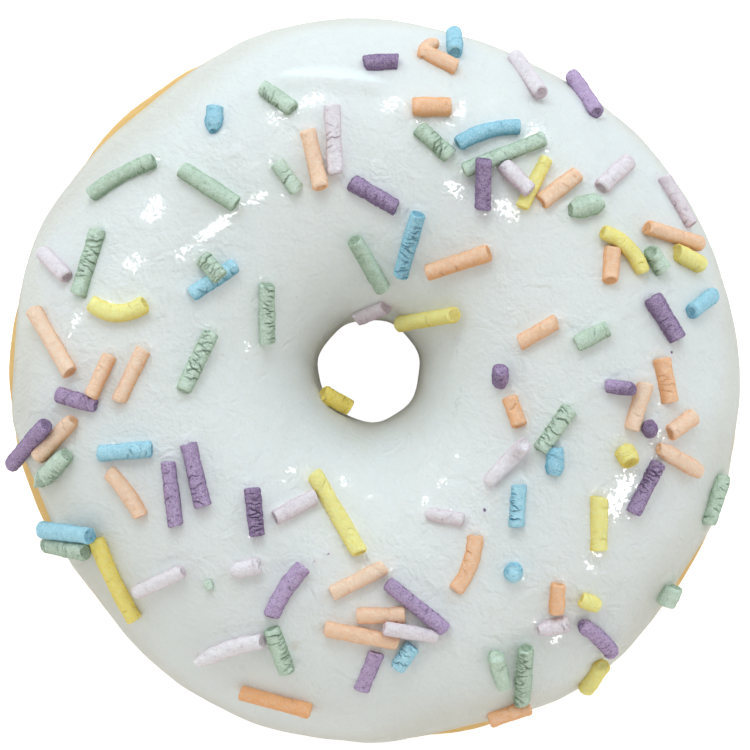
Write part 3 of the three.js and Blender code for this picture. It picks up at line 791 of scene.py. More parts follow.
# wetSpots: x, y, half length, half width, heading, strength of the places that still glisten
icingLook = {
    "roundSteps": 600,
    "coverRows": 138,
    "lipRows": 4,
    "innerRows": 8,
    "coverLength": 66.0,         # from edge to edge along the section
    "sectionRadius": 16.0,
    "lipReach": 0.8,             # how far its rounded lips reach along the dough for their depth
    "bedding": 0.25,             # how deep its hidden inner face lies in the dough
    "swell": 0.2,
    "ripple": 0.06,
    "calmEdge": 0.06,            # share of the section along each edge where they die down
    "meniscus": 0.16,            # rise of the icing against a strand
    "meniscusWidth": 0.45,
    "stainWeight": 0.16,         # how much of their colour the strands leave beside them
    "stainReach": 0.45,
    "colour": (0.79, 0.815, 0.81, 1),
    "dullColour": (0.755, 0.775, 0.765, 1),
    "thinAndShadeColour": (0.65, 0.61, 0.52, 1),
    # how thin the icing looks at its edges and down the wall of the hole, with painted shade on a band
    # inside the edges and on that wall, and over which share of the section, from its edges or to the wall
    "thinEdge": 0.9,
    "thinEdgeFade": (0.03, 0.09),
    "rimShade": 0.5,
    "rimShadeFade": (0.1, 0.24),
    "wallThinAndShadeFade": (0.66, 0.93),
    "crackColour": (0.55, 0.56, 0.53, 1),
    "crackShade": 0.2,
    "glow": 0.25,
    "dryRoughness": 0.65,
    "wetRoughness": 0.45,
    "dryRipple": 0.36,
    "wetRipple": 0.4,
    "filmRoughness": 0.05,       # broken film of syrup over the wet spots
    "filmIor": 2.0,
    "filmShare": 0.335,          # how much of a wet spot it covers
    "filmEdge": (0.82, 0.84),
    "wetPeak": 1.15,             # middle and falling off of a wet spot, and how far it outgrows its row
    "wetFalloff": 0.7,
    "wetGrowth": 0.1,
    "rimWet": 0.72,              # wet line round each strand: strength, distance and width
    "rimPlace": 0.1,
    "rimWidth": 0.3,
    "wrinkle": 1.4,
    "spills": [                  # x, y, width, colour and weight of faint smears
        (-9.6, -32.5, 1.3, (0.6, 0.53, 0.4), 0.4), (15.0, -14.6, 1.1, (0.72, 0.68, 0.58), 0.3),
        (-1.8, -22.6, 0.9, (0.75, 0.62, 0.5), 0.2),
    ],
    # painted highlight on the fold's face: its colour and strength
    "foldHighlightColour": (0.9, 0.96, 0.98),
    "foldHighlightWeight": 0.75,
    "foldFrom": (-12.0, 37.3),   # a fold in the icing, its ridge, and the face beyond it
    "foldTo": (2.4, 36.2),
    "foldBulge": 0.25,
    "foldHeight": 0.5,
    "foldWidth": 2.1,
    "foldRise": (-2.5, -0.1),    # where the icing climbs to the ridge
    "foldEnds": (-0.02, 0.12, 0.8, 1.02),    # where along it the fold starts and ends
    "wetSpots": [
        (-27.1, 21.0, 2.0, 1.4, 60, 1.0), (-19.3, 18.9, 3.2, 0.72, 36, 1.25),
        (-14.2, 22.4, 1.7, 0.6, 36, 1.15), (-22.9, 16.0, 2.4, 0.9, 35, 0.8),
        (-29.2, 14.5, 1.8, 1.2, 20, 0.85), (-36.9, 7.1, 1.9, 0.9, 62, 0.8),
        (-10.5, 22.8, 1.6, 0.8, 10, 0.7), (-11.8, 32.3, 1.6, 1.3, -30, 0.7),
        (-10.4, 30.6, 1.3, 1.0, 0, 0.6), (-7.4, 34.5, 1.9, 0.9, 20, 0.9), (2.1, 33.9, 1.5, 0.9, 25, 0.8),
        (0.2, 26.7, 0.7, 0.8, 60, 0.7), (-20.8, 28.7, 1.2, 0.8, 30, 0.4),
        (-15.5, 3.8, 2.6, 0.35, -85, 0.7), (-9.0, 10.3, 0.6, 0.3, 30, 0.7),
        (-5.9, 10.9, 0.6, 0.25, -60, 0.6), (10.7, 33.0, 1.4, 0.7, 80, 0.9),
        (9.3, 31.4, 0.9, 0.6, 0, 0.7), (9.9, 23.7, 1.9, 0.9, -42, 1.0), (16.3, 21.0, 2.2, 1.2, -45, 1.0),
        (12.5, 20.2, 0.7, 0.3, -15, 0.7), (20.3, 30.2, 2.4, 1.6, -50, 1.0),
        (13.9, 33.8, 1.3, 0.6, 20, 0.5), (10.7, 27.1, 0.8, 1.2, 0, 0.8),
        (30.3, -13.9, 3.7, 1.6, 70, 1.05), (27.1, -22.0, 1.6, 1.2, 80, 1.05),
        (32.2, -11.3, 1.0, 0.6, 50, 0.6), (20.7, -3.7, 0.6, 0.4, 0, 0.5),
        (10.5, -2.3, 2.6, 0.35, 75, 0.8), (10.2, -9.2, 0.9, 0.3, 60, 0.8),
        (-9.9, -10.8, 0.8, 0.8, 0, 0.9), (-11.2, -12.3, 0.5, 0.4, 0, 0.8),
        (-3.4, -12.3, 1.2, 0.7, 5, 0.8), (-0.6, -14.1, 1.0, 0.3, 5, 0.7),
        (6.4, -14.6, 0.9, 0.45, 35, 0.8), (8.5, -12.5, 0.9, 0.5, 45, 0.9),
        (6.8, -10.7, 1.2, 0.4, 35, 0.7), (1.0, -17.4, 0.7, 0.3, 10, 0.6),
        (-5.6, -16.1, 0.5, 0.35, 0, 0.8), (22.9, 21.6, 0.5, 0.4, 0, 0.6),
        (3.8, -37.5, 2.6, 0.35, 3, 0.45), (-4.3, -37.5, 1.3, 0.6, 10, 0.5),
        (22.6, -31.6, 1.2, 0.6, 55, 0.9),
    ],
}


def icingMaterial():
    look = icingLook
    material, tree, shader, place = newMaterial("whiteIcing", **{
        "Subsurface Weight": look["glow"], "Subsurface Scale": 1.0 * mm, "IOR": 1.48,
        "Coat Roughness": look["filmRoughness"], "Coat IOR": look["filmIor"]})
    shader.inputs["Subsurface Radius"].default_value = (1.2, 1.0, 0.8)
    wet, thinAndShade, stain = (painted(tree, name) for name in ("wet", "thinAndShade", "stain"))
    body = placeGroup(tree, patchyColour, {"Place": place, "Light": look["colour"],
                                           "Dark": look["dullColour"], "Size": 5.0, "Contrast": 1.4})
    speckle = noisePattern(tree, place, 2.0, roughness=0.6)["Fac"]
    dull = rescale(tree, speckle, 0.35, 0.65, 0.0, 0.5)
    colour = blendColours(tree, dull, body["Colour"], look["dullColour"])
    # thin icing over the dough at the edges, and painted shade on the rim band and down the hole's wall
    colour = blendColours(tree, thinAndShade["Fac"], colour, look["thinAndShadeColour"])
    cracking = {"Place": place, "Size": 2.9, "Width": 0.07, "Wander": 0.7}
    cracks = placeGroup(tree, hairLines, cracking)["Lines"]
    colour = blendColours(tree, times(tree, cracks, look["crackShade"]), colour, look["crackColour"])
    # strand dye and smears, and the painted highlight on the fold's face
    colour = blendColours(tree, stain["Alpha"], colour, stain["Color"])
    film = plus(tree, speckle, times(tree, wet["Fac"], look["filmShare"]))
    film = rescale(tree, film, *look["filmEdge"], 0.0, 1.0)
    roughness = mixNumber(tree, wet["Fac"], look["dryRoughness"], look["wetRoughness"])
    fillInputs(tree, shader, {"Base Color": colour, "Roughness": roughness, "Coat Weight": film})
    ripple = noisePattern(tree, place, 2.1, detail=1.0, roughness=0.6)["Fac"]
    wrinkle = noisePattern(tree, place, 0.38, distortion=0.6)["Fac"]
    wrinkle = calculate(tree, "ABSOLUTE", minus(tree, wrinkle, 0.5))
    chop = times(tree, ripple, mixNumber(tree, wet["Fac"], look["dryRipple"], look["wetRipple"]))
    bumpInto(tree, shader, plus(tree, chop, times(tree, wrinkle, look["wrinkle"])), 0.3, 1.0)
    return material


# How far points are from the skin of the nearest strand, and the number of that strand
def nearStrands(points):
    beads = []
    for number, strand in enumerate(placedStrands):
        for share in np.linspace(-1, 1, max(3, int(strand["reach"] / 0.3))):
            beads.append((strandLine(strand, float(share))[0], number))
    tree = pointTree([point for point, _ in beads])
    gaps = np.zeros(len(points))
    owners = np.zeros(len(points), dtype=int)
    for row, point in enumerate(points):
        _, index, distance = tree.find(Vector(point))
        owners[row] = beads[index][1]
        gaps[row] = distance - placedStrands[owners[row]]["radius"]
    return gaps, owners


# The fold in the icing: its height, and the painted highlight on its face beyond the ridge
def foldAt(points):
    look = icingLook
    start, end = np.array(look["foldFrom"]), np.array(look["foldTo"])
    chord = end - start
    length = np.linalg.norm(chord)
    along = (points[:, :2] - start) @ chord / length ** 2
    outward = np.array([-chord[1], chord[0]]) / length
    ridge = look["foldBulge"] * np.sin(math.pi * np.clip(along, 0, 1))
    away = (points[:, :2] - start) @ outward - ridge
    face = look["foldWidth"] * np.sqrt(np.clip(4 * along * (1 - along), 0.04, 1))
    window = smoothStep(along, *look["foldEnds"][:2]) * (1 - smoothStep(along, *look["foldEnds"][2:]))
    height = smoothStep(away, *look["foldRise"]) ** 2 * (1 - smoothStep(away / face, -0.1, 1.0))
    # painted highlight on the face beyond the ridge
    highlight = smoothStep(away, -0.2, 0.1) * (1 - smoothStep(away / face, 0.3, 1.0))
    return look["foldHeight"] * height * window, look["foldHighlightWeight"] * highlight * window


def wetness(points):
    look = icingLook
    most = np.zeros(len(points))
    for x, y, halfLength, halfWidth, heading, strength in look["wetSpots"]:
        turnX, turnY = math.cos(heading * degree), math.sin(heading * degree)
        dx, dy = points[:, 0] - x, points[:, 1] - y
        along = (dx * turnX + dy * turnY) / (halfLength + look["wetGrowth"])
        across = (dy * turnX - dx * turnY) / (halfWidth + look["wetGrowth"])
        falling = np.exp(-look["wetFalloff"] * (along ** 2 + across ** 2) ** 2)
        most = np.maximum(most, look["wetPeak"] * strength * falling)
    return most * (points[:, 2] > ring["bellyHeight"])


# How thin the icing looks along its edges, with painted shade on a band inside them, and darker down the
# wall of the hole, partly thin icing and partly painted shade
def thinnessAndShade(share):
    look = icingLook
    fromEdge = np.minimum(share, 1 - share)
    edge = look["thinEdge"] * (1 - smoothStep(fromEdge, *look["thinEdgeFade"]))
    # painted shade on a band inside the edges
    rimBandShade = look["rimShade"] * (1 - smoothStep(fromEdge, *look["rimShadeFade"]))
    # partly thin icing, partly painted shade down the wall of the hole
    wall = look["thinEdge"] * smoothStep(share, *look["wallThinAndShadeFade"])
    return np.clip(np.maximum(edge + rimBandShade, wall), 0, 1)


# Colours that the strands and the smears lend the icing, with the painted highlight on the fold's face, and
# how strongly they show
def stainsAndFoldHighlight(points, gaps, owners, foldHighlight):
    look = icingLook
    tints = np.array([sugarKinds[strand["kind"]]["stain"] for strand in placedStrands])[owners]
    weight = look["stainWeight"] * np.exp(-(np.maximum(gaps, 0) / look["stainReach"]) ** 2)
    layers = [(look["foldHighlightColour"], foldHighlight)]
    for x, y, width, colour, strength in look["spills"]:
        away = np.hypot(points[:, 0] - x, points[:, 1] - y)
        layers.append((colour, strength * np.exp(-(away / width * 2) ** 4)))
    for colour, shown in layers:
        tints = np.where((shown > weight)[:, None], colour, tints)
        weight = np.maximum(weight, shown)
    return np.concatenate([tints, weight[:, None]], axis=1)


# The edges round over onto the dough, and the hidden inner face runs back through it
def icingUnderside(bearing, shares, lipReach):
    look = icingLook
    lipRows = []
    for edgeShare, side in ((shares[-1], 1), (shares[0], -1)):
        rows = []
        startDepth = glaze["gap"] + icingDepth(bearing, edgeShare)[..., None]
        for quarter in np.linspace(0, 90, look["lipRows"] + 1)[1:] * degree:
            reach = side * lipReach * math.sin(quarter) / look["sectionRadius"]
            turned = coverTilt(bearing, edgeShare) + reach
            lift = startDepth * math.cos(quarter) - look["bedding"] * math.sin(quarter)
            rows.append(doughPoint(bearing, turned) + doughNormal(bearing, turned) * lift)
        lipRows.append(rows)
    innerRows = []
    for inner in np.linspace(shares[-1], shares[0], look["innerRows"]):
        turned = coverTilt(bearing, inner)
        innerRows.append(doughPoint(bearing, turned) - doughNormal(bearing, turned) * look["bedding"])
    return np.array(lipRows[0] + innerRows + lipRows[1][::-1]).reshape(-1, 3)


def makeIcing():
    look = icingLook
    bearing = np.linspace(0, fullTurn, look["roundSteps"], endpoint=False)
    lipReach = look["lipReach"] * (glaze["gap"] + glaze["lipDepth"])
    firstShare = lipReach / look["coverLength"]
    shares = np.linspace(firstShare, 1 - firstShare, look["coverRows"])
    share = np.broadcast_to(shares[:, None], (len(shares), len(bearing)))
    face, normals = icingFace(np.broadcast_to(bearing, share.shape), share)
    share = share.ravel()

    gaps, owners = nearStrands(face)
    relief = noiseAt(face, 8.0, 3.0) * look["swell"] + noiseAt(face, 2.4, 7.0) * look["ripple"]
    foldHeight, foldHighlight = foldAt(face)
    relief = relief * smoothStep(np.minimum(share, 1 - share), 0.0, look["calmEdge"]) + foldHeight
    relief += look["meniscus"] * np.exp(-(np.maximum(gaps, 0) / look["meniscusWidth"]) ** 2)
    face = face + normals * relief[:, None]
    hidden = icingUnderside(bearing, shares, lipReach)
    points = np.concatenate([face, hidden])

    faces = ringFaces(len(points) // len(bearing), len(bearing))
    piece = makePiece("icingCoat", points, faces, icingMaterial())
    spare = np.zeros(len(hidden))
    rim = look["rimWet"] * np.exp(-((gaps - look["rimPlace"]) / look["rimWidth"]) ** 2)
    paintPoints(piece, "wet", np.concatenate([np.maximum(wetness(face), rim), spare]))
    # thin icing at the edges, with painted shade on the rim band and down the hole's wall
    paintPoints(piece, "thinAndShade", np.concatenate([thinnessAndShade(share), spare + look["thinEdge"]]))
    # strand dye and smears, and the painted highlight on the fold's face
    stain = stainsAndFoldHighlight(face, gaps, owners, foldHighlight)
    paintPoints(piece, "stain", np.concatenate([stain, np.zeros((len(hidden), 4))]))
    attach(piece, "root")
    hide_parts("icing")
    print("icing made:", len(piece.data.polygons), "faces")


# deep: each kind's deeper colour, for its own strength and for the painted shade on it
sugarKinds = {
    "sage": {"colour": (0.7, 0.84, 0.71, 1), "deep": (0.25, 0.4, 0.24, 1), "stain": (0.62, 0.74, 0.6),
             "chalk": 0.3, "pits": 0.4, "torn": 0.4, "pitted": 0.3, "rough": 0.06},
    "blue": {"colour": (0.47, 0.82, 0.96, 1), "deep": (0.1, 0.42, 0.6, 1), "stain": (0.55, 0.74, 0.8),
             "chalk": 0.28, "pits": 0.4, "torn": 0.12, "pitted": 0.4, "rough": 0.06},
    "peach": {"colour": (1.0, 0.79, 0.63, 1), "deep": (0.95, 0.45, 0.18, 1), "stain": (0.84, 0.68, 0.58),
              "chalk": 0.13, "pits": 0.25, "torn": 0.04, "pitted": 0.15, "rough": 0.045},
    "lilac": {"colour": (0.96, 0.93, 0.97, 1), "deep": (0.68, 0.5, 0.58, 1), "stain": (0.8, 0.7, 0.72),
              "chalk": 0.3, "pits": 0.35, "torn": 0.06, "pitted": 0.4, "rough": 0.06},
    "purple": {"colour": (0.58, 0.41, 0.67, 1), "deep": (0.19, 0.1, 0.25, 1), "stain": (0.62, 0.55, 0.66),
               "chalk": 0.2, "pits": 0.8, "torn": 0.15, "pitted": 0.9, "rough": 0.08},
    "yellow": {"colour": (0.98, 0.93, 0.33, 1), "deep": (0.95, 0.71, 0.07, 1), "stain": (0.82, 0.8, 0.52),
               "chalk": 0.22, "pits": 0.3, "torn": 0.1, "pitted": 0.3, "rough": 0.055},
}


def sugarMaterial(kind):
    look = sugarKinds[kind]
    material, tree, shader, place = newMaterial(kind + "Sugar")
    # deep carries the strand's colour strength and painted shade on its underside; the other attribute
    # carries its breaks and painted shade
    grain = placeGroup(tree, sugarGrain, {"Place": place, "Colour": look["colour"], "Deep": look["deep"],
                                          "Chalk": look["chalk"], "Pits": look["pits"],
                                          "Depth": painted(tree, "deep")["Fac"],
                                          "BrokenAndShaded": painted(tree, "brokenAndShaded")["Fac"]})
    fillInputs(tree, shader, {"Base Color": grain["Colour"], "Roughness": grain["Roughness"]})
    bumpInto(tree, shader, grain["Height"], 0.32, 1.0)
    return material


# Cracks across a strand, most of them notches along one edge, each with a raised lip beside it
def crackRelief(draw, along, turn, reach, torn):
    form = strandForm
    strength, low, high = torn if isinstance(torn, tuple) else (torn, 0.0, 1.0)
    relief = np.zeros(np.broadcast(along, turn).shape)
    cracks = round(strength * (high - low) * reach / form["crackGap"])
    edge = 90 + draw.choice((-1, 1)) * draw.uniform(*form["crackEdge"])
    for number in range(cracks):
        place = (low + (high - low) * (number + draw.uniform(0.2, 0.8)) / cracks - 0.5) * reach
        long = draw.random() < form["longCracks"] * strength
        middle = (draw.uniform(*form["longMiddle"]) if long else edge + draw.uniform(-25, 25)) * degree
        halfSpan = draw.uniform(*form["longSpan" if long else "shortSpan"]) * degree
        away = turnFrom(middle, turn)
        line = place + draw.uniform(-form["crackSlant"], form["crackSlant"]) * away
        for size, count in form["crackWaves"]:
            line = line + size * np.sin(count * away + draw.uniform(0, 6))
        window = np.sqrt(np.clip(1 - (away / halfSpan) ** 2, 0, 1))
        depth = form["crackDepth"] * draw.uniform(0.5, 1.1) * (0.4 + 0.6 * strength)
        width = form["crackWidth"] * draw.uniform(0.8, 1.6)
        side = draw.choice((-1, 1))
        lip = (0.1 + 0.22 * strength ** 2) * depth
        relief = relief - depth * window * np.exp(-((along - line) / width) ** 4)
        relief = relief + lip * window * np.exp(-((along - line - side * 2.2 * width) / (1.4 * width)) ** 2)
    return relief


def pitRelief(draw, along, turn, reach, radius, pitted):
    form = strandForm
    relief = np.zeros(np.broadcast(along, turn).shape)
    for _ in range(round(pitted * reach * form["pitsPerLength"])):
        place = draw.uniform(-0.48, 0.48) * reach
        middle = draw.uniform(0, fullTurn)
        size = draw.uniform(*form["pitSize"])
        away = turnFrom(middle, turn) * radius
        depth = form["pitDepth"] * draw.uniform(0.4, 1)
        relief = relief - depth * np.exp(-((along - place) ** 2 + away ** 2) / size ** 2)
    return relief


# Places of a strand's rings along it, and how much smaller they get where its ends round over
def roundedEnds(draw, strand):
    form = strandForm
    radius, reach = strand["radius"], strand["reach"]
    quarters = np.array(form["rimAngles"]) * degree
    rounds = [strand["options"].get("round", draw.uniform(*form["rimRound"])) * min(1.0, reach / 2)
              for _ in range(2)]
    ends = [reach / 2 - rounding * (1 - np.sin(quarters)) for rounding in rounds]
    ringCount = max(form["fewestRings"], round(reach / form["ringGap"]))
    body = np.linspace(-ends[0][-1], ends[1][-1], ringCount)
    along = np.concatenate([-ends[0][:-1], body, ends[1][:-1][::-1]])
    first, last = (rounding * (1 - np.cos(quarters[:-1])) / radius for rounding in rounds)
    rim = np.ones(len(along))
    rim[:len(first)] -= first
    rim[-len(last):] -= last[::-1]
    return along, rim


# Distance of each of a strand's points from its middle line, and the relief in it
def strandSizes(draw, strand, along, rim, turn):
    form, look, options = strandForm, sugarKinds[strand["kind"]], strand["options"]
    radius, reach = strand["radius"], strand["reach"]
    share = along / (reach / 2)
    taper = options.get("taper", (0.0, 0.0))
    narrow = 1 - taper[0] * smoothStep(-share, *form["taperFrom"]) ** 2
    narrow = narrow - taper[1] * smoothStep(share, *form["taperFrom"]) ** 2
    drift = sum(size * np.sin(share * count + draw.uniform(0, 6)) for size, count in form["drift"])
    oval = sum(size * np.cos(turn * count + draw.uniform(0, 6)) for size, count in form["oval"])
    places = along[:, None]
    relief = crackRelief(draw, places, turn, reach, options.get("torn", look["torn"]))
    relief = relief + pitRelief(draw, places, turn, reach, radius, options.get("pitted", look["pitted"]))
    count, lay = options.get("facets", (0, 0))
    facing = np.ones(len(turn))
    if count:
        wedge = fullTurn / count
        inWedge = np.mod(turn - lay * degree, wedge) - wedge / 2
        flatness = form["facetSpread"] * math.cos(wedge / 2) / np.cos(inWedge)
        facing = 1 - form["facetShare"] + form["facetShare"] * flatness
    return (radius * rim * (narrow + drift))[:, None] * (facing + oval) + relief, relief


# The way that the side of a strand with the painted shade faces
def shadeWay(strand):
    form = strandForm
    inward = Vector((ring["holeX"], ring["holeY"], 0)) - (strand["start"] + strand["end"]) / 2
    way = Vector((inward.x, inward.y, 0)) * form["holePull"] + Vector((0, -form["bottomPull"], 0))
    return way * min(1.0, 1 / way.length)


# Closes one end of a strand with a rough, slightly hollow broken face inside the ring that starts at first
def closeEnd(draw, points, faces, brokenAndShaded, first, way, pointing, seedShift, options):
    form, sides = strandForm, strandForm["sides"]
    rimPoints = points[first:first + sides]
    centre = sum(rimPoints, Vector()) / sides
    hollow = max(draw.uniform(-0.05, 0.2), options.get("hollow", 0) * (way > 0))
    crags = form["standCrags" if "stand" in options else "endCrags"]
    endShade = 0.0 if options.get("pale") else form["endShade"]
    steps = [(step, (step + 1) % sides) for step in range(sides)]
    for shrink in form["endRings"]:
        inner = len(points)
        for rimPoint in rimPoints:
            spot = centre.lerp(rimPoint, shrink)
            rough = crags * noise.noise(spot * 2.1 + Vector((seedShift, 0, 0)))
            sunken = hollow * (1 - shrink ** 2)
            points.append(spot + pointing * way * (rough - sunken))
            # painted shade on the broken face, darker in the dents of its relief
            brokenAndShaded.append(endShade + form["cragShade"] * max(0.0, -rough))
        for here, beside in steps:
            faces.append((first + here, first + beside, inner + beside, inner + here)[::-way])
        first = inner
    points.append(centre - pointing * way * hollow)
    brokenAndShaded.append(endShade)
    faces += [(first + here, first + beside, len(points) - 1)[::-way] for here, beside in steps]


# One strand as rings of points, with how broken and shaded it is at each (painted shade in cracks, pits,
# on its broken ends and on one side) and how deep in colour it is
def strandMesh(strand, number):
    form, look, options = strandForm, sugarKinds[strand["kind"]], strand["options"]
    draw = random.Random(form["reliefSeed"] * 1000 + number)
    radius, sides = strand["radius"], form["sides"]
    turn = np.arange(sides) * fullTurn / sides
    along, rim = roundedEnds(draw, strand)
    share = along / (strand["reach"] / 2)
    sizes, relief = strandSizes(draw, strand, along, rim, turn)
    seedShift = draw.uniform(0, 50)
    leans = [draw.uniform(-form["lean"], form["lean"]) for _ in range(2)]
    flat = strand["flat"] * options.get("flat", 1.0)
    coarse = 0.02 + 0.38 * options.get("lump", 0.0)
    lumpSize = form["lumpSize"]
    # painted shade in the cracks and pits
    shade = np.clip(-relief / form["cleftTint"], 0, 1) ** 1.3 * form["cleftShade"]
    shadeSide = shadeWay(strand)
    points, faces = [], []
    for index, place in enumerate(along):
        point, pointing = strandLine(strand, float(share[index]))
        side = pointing.cross(strand["upward"]).normalized()
        upward = side.cross(pointing)
        # painted shade on the side that faces shadeWay
        towards = shadeSide.dot(side) * np.cos(turn) + shadeSide.dot(upward) * np.sin(turn)
        shade[index] += form["sideShade"] * smoothStep(towards, -0.1, 1.0)
        lean = leans[0] if share[index] < 0 else leans[1]
        lean = lean * smoothStep(np.abs(share[index]), *form["leanFrom"])
        for angle, size in zip(turn, sizes[index]):
            across = math.cos(angle) * size
            above = math.sin(angle) * size * flat
            local = Vector((place / lumpSize, across / lumpSize, above / lumpSize + seedShift))
            bumpy = look["rough"] * noise.noise(local * 2.6) + coarse * noise.noise(local)
            stretch = 1 + bumpy / radius
            slant = lean * math.sin(angle + number) * radius
            points.append(point + side * across * stretch + upward * above * stretch + pointing * slant)
    brokenAndShaded = shade.ravel().tolist()
    for row in range(len(along) - 1):
        for step in range(sides):
            here, beside = row * sides + step, row * sides + (step + 1) % sides
            faces.append((here, here + sides, beside + sides, beside))
    sideCount = len(points)
    for row, way in ((0, -1), (len(along) - 1, 1)):
        _, pointing = strandLine(strand, float(share[row]))
        closeEnd(draw, points, faces, brokenAndShaded, row * sides, way, pointing, seedShift, options)
    # deep colour: the strand's own strength, with painted shade towards the underside
    strength = np.full(len(points), options.get("deep", draw.uniform(0.05, 0.3)))
    underShade = form["undersideShade"] * (1 - smoothStep(np.sin(turn), -0.1, 0.85))
    strength[:sideCount] += np.tile(underShade, len(along))
    return points, faces, brokenAndShaded, strength.tolist()


def makeStrands(kind):
    points, faces, brokenAndShaded, deep = [], [], [], []
    for number, strand in enumerate(placedStrands):
        if strand["kind"] != kind:
            continue
        morePoints, moreFaces, moreBrokenAndShaded, moreDeep = strandMesh(strand, number)
        first = len(points)
        points += [tuple(point) for point in morePoints]
        faces += [tuple(corner + first for corner in face) for face in moreFaces]
        brokenAndShaded += moreBrokenAndShaded
        deep += moreDeep
    piece = makePiece(kind + "Strands", points, faces, sugarMaterial(kind))
    # painted shade in the cracks, on the broken ends and on one side
    paintPoints(piece, "brokenAndShaded", brokenAndShaded)
    paintPoints(piece, "deep", deep)
    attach(piece, "root")
    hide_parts("icing")
    print(kind, "strands made:", len(piece.data.polygons), "faces")


studio = {
    "floorSide": 3000,
    "floorDrop": 0.1,
    "floorColour": (0.9, 0.9, 0.9, 1),
    "floorDeep": (0.88, 0.88, 0.88, 1),
    "floorGlow": 0.62,           # the pale table's own light, for the camera alone
    "holeLightPool": 0.97,            # painted light: a brighter glow under the hole, where its shade falls
    "holeLightPoolFade": (1.5, 2.5),  # from where to where it fades, in radii of the hole
    "windowWay": (0.15, 0.99, 0),
    "northColour": (0.7, 0.77, 0.82, 1),
    "southColour": (0.72, 0.7, 0.64, 1),
    "horizonStrength": 1.78,
    "zenithStrength": 0.55,
    # name, bearing, angle from straight up, distance, width, height, brightness, colour, gloss alone
    "panes": [
        ("northWindow", 98, 44, 1200, 600, 450, 4.7, (0.86, 0.97, 1.0), False),
        ("lowNorthWindow", 98, 70, 1200, 1100, 300, 2.0, (0.84, 0.97, 1.0), True),
        ("roofGlint", 110, 1, 1500, 700, 620, 5, (0.98, 0.99, 1.0), True),
        ("northGlint", 88, 40, 1200, 330, 490, 7, (0.95, 0.99, 1.0), True),
        ("northByWestGlint", 118, 40, 1200, 440, 440, 7, (0.95, 0.99, 1.0), True),
        ("northEastGlint", 62, 50, 1200, 360, 1070, 7, (0.92, 0.99, 1.0), True),
        ("eastNorthGlint", 40, 46, 1200, 290, 480, 7, (0.92, 0.99, 1.0), True),
        ("northWestGlint", 148, 34, 1200, 360, 410, 7, (0.95, 0.99, 1.0), True),
        ("lowWestGlint", 134, 56, 1200, 520, 440, 7, (0.95, 0.99, 1.0), True),
        ("eastGlint", -32, 34, 1200, 560, 470, 7, (1.0, 0.99, 0.97), True),
        ("southEastGlint", -55, 68, 1200, 290, 290, 7, (1.0, 0.99, 0.97), True),
        ("westGlint", 166, 58, 1200, 300, 300, 7, (0.95, 0.99, 1.0), True),
        ("eastLowGlint", -13, 53, 1200, 300, 300, 7, (1.0, 0.99, 0.97), True),
    ],
}


def makeFloor():
    side, drop = studio["floorSide"] / 2, studio["floorDrop"]
    material, tree, shader, place = newMaterial("paleTable", **{"Roughness": 0.6})
    tone = placeGroup(tree, patchyColour, {"Place": place, "Light": studio["floorColour"],
                                           "Dark": studio["floorDeep"], "Size": 60.0, "Contrast": 1.0})
    tree.links.new(tone["Colour"], shader.inputs["Base Color"])
    seen = addNode(tree, "LightPath").outputs["Is Camera Ray"]
    fromHole = addNode(tree, "VectorMath", {0: place, 1: (ring["holeX"] * mm, ring["holeY"] * mm, 0)},
                       operation="DISTANCE").outputs["Value"]
    fadeFrom, fadeTo = (radii * ring["holeRadius"] * mm for radii in studio["holeLightPoolFade"])
    # the table's even glow, with painted light under the hole
    glowHere = rescale(tree, fromHole, fadeFrom, fadeTo, studio["holeLightPool"], studio["floorGlow"])
    glow = addNode(tree, "Emission", {"Strength": times(tree, seen, glowHere)})
    both = addNode(tree, "AddShader", {0: shader.outputs[0], 1: glow.outputs[0]})
    tree.links.new(both.outputs[0], tree.nodes["Material Output"].inputs["Surface"])
    corners = [(-side, -side, -drop), (side, -side, -drop), (side, side, -drop), (-side, side, -drop)]
    floor = makePiece("paleTable", corners, [(0, 1, 2, 3)], material)


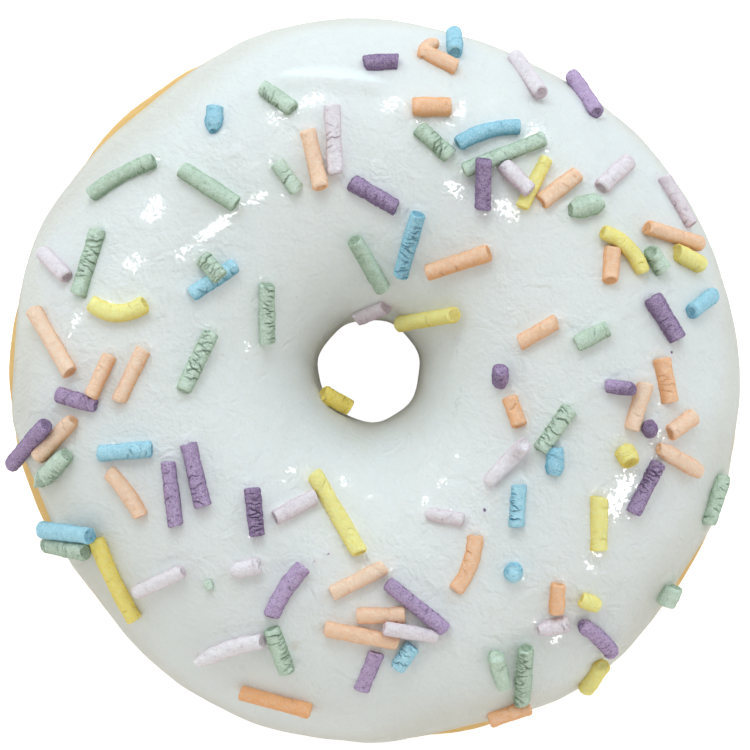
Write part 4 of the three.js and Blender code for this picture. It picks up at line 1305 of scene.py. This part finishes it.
def makeLights():
    focus = Vector((0, 0, (doughHigh.z + doughLow.z) / 2))
    for name, bearing, fromTop, distance, width, height, brightness, colour, glossAlone in studio["panes"]:
        lamp = bpy.data.lights.new(name, "AREA")
        lamp.shape = "RECTANGLE"
        lamp.size, lamp.size_y = width * mm, height * mm
        lamp.energy = brightness * math.pi * lamp.size * lamp.size_y
        lamp.color = colour
        holder = bpy.data.objects.new(name, lamp)
        bpy.context.scene.collection.objects.link(holder)
        flat = math.sin(fromTop * degree)
        towards = Vector((flat * math.cos(bearing * degree), flat * math.sin(bearing * degree),
                          math.cos(fromTop * degree)))
        holder.location = focus + towards * distance * mm
        holder.rotation_euler = towards.to_track_quat("Z", "Y").to_euler()
        holder.visible_diffuse = not glossAlone
        holder.visible_camera = False


def makeSky():
    world = bpy.data.worlds.new("softRoom")
    bpy.context.scene.world = world
    world.use_nodes = True
    tree = world.node_tree
    sky = tree.nodes["Background"]
    way = addNode(tree, "TexCoord").outputs["Generated"]
    towardsWindow = addNode(tree, "VectorMath", {0: way, 1: studio["windowWay"]}, operation="DOT_PRODUCT")
    windowShare = rescale(tree, towardsWindow.outputs["Value"], -1.0, 1.0, 0.0, 1.0)
    skyColour = blendColours(tree, windowShare, studio["southColour"], studio["northColour"])
    upward = addNode(tree, "SeparateXYZ", {0: way}).outputs["Z"]
    skyStrength = rescale(tree, upward, 0.0, 1.0, studio["horizonStrength"], studio["zenithStrength"])
    fillInputs(tree, sky, {"Color": skyColour, "Strength": skyStrength})
    wall = addNode(tree, "Background", {"Color": (1, 1, 1, 1), "Strength": 1.0})
    seen = addNode(tree, "LightPath").outputs["Is Camera Ray"]
    both = addNode(tree, "MixShader", {0: seen, 1: sky.outputs[0], 2: wall.outputs[0]})
    tree.links.new(both.outputs[0], tree.nodes["World Output"].inputs["Surface"])


view = {
    "x": 0.25,
    "y": 0.75,
    "height": 900,
    "frameWidth": 93.75,         # the square frame's width, at the height below
    "frameHeight": 14.0,
    "sensor": 36.0,
}


def makeCamera():
    camera = bpy.data.cameras.new("topView")
    camera.sensor_width = view["sensor"]
    camera.lens = view["sensor"] * (view["height"] - view["frameHeight"]) / view["frameWidth"]
    camera.clip_start, camera.clip_end = 0.01, 20
    holder = bpy.data.objects.new("topView", camera)
    holder.location = (view["x"] * mm, view["y"] * mm, view["height"] * mm)
    bpy.context.scene.collection.objects.link(holder)
    bpy.context.scene.camera = holder


makeCamera()
makeLights()
makeSky()
makeFloor()
print("studio ready")
makeDough()
makeIcing()
for kind in strands:
    makeStrands(kind)
bpy.context.scene.view_settings.view_transform = "Standard"
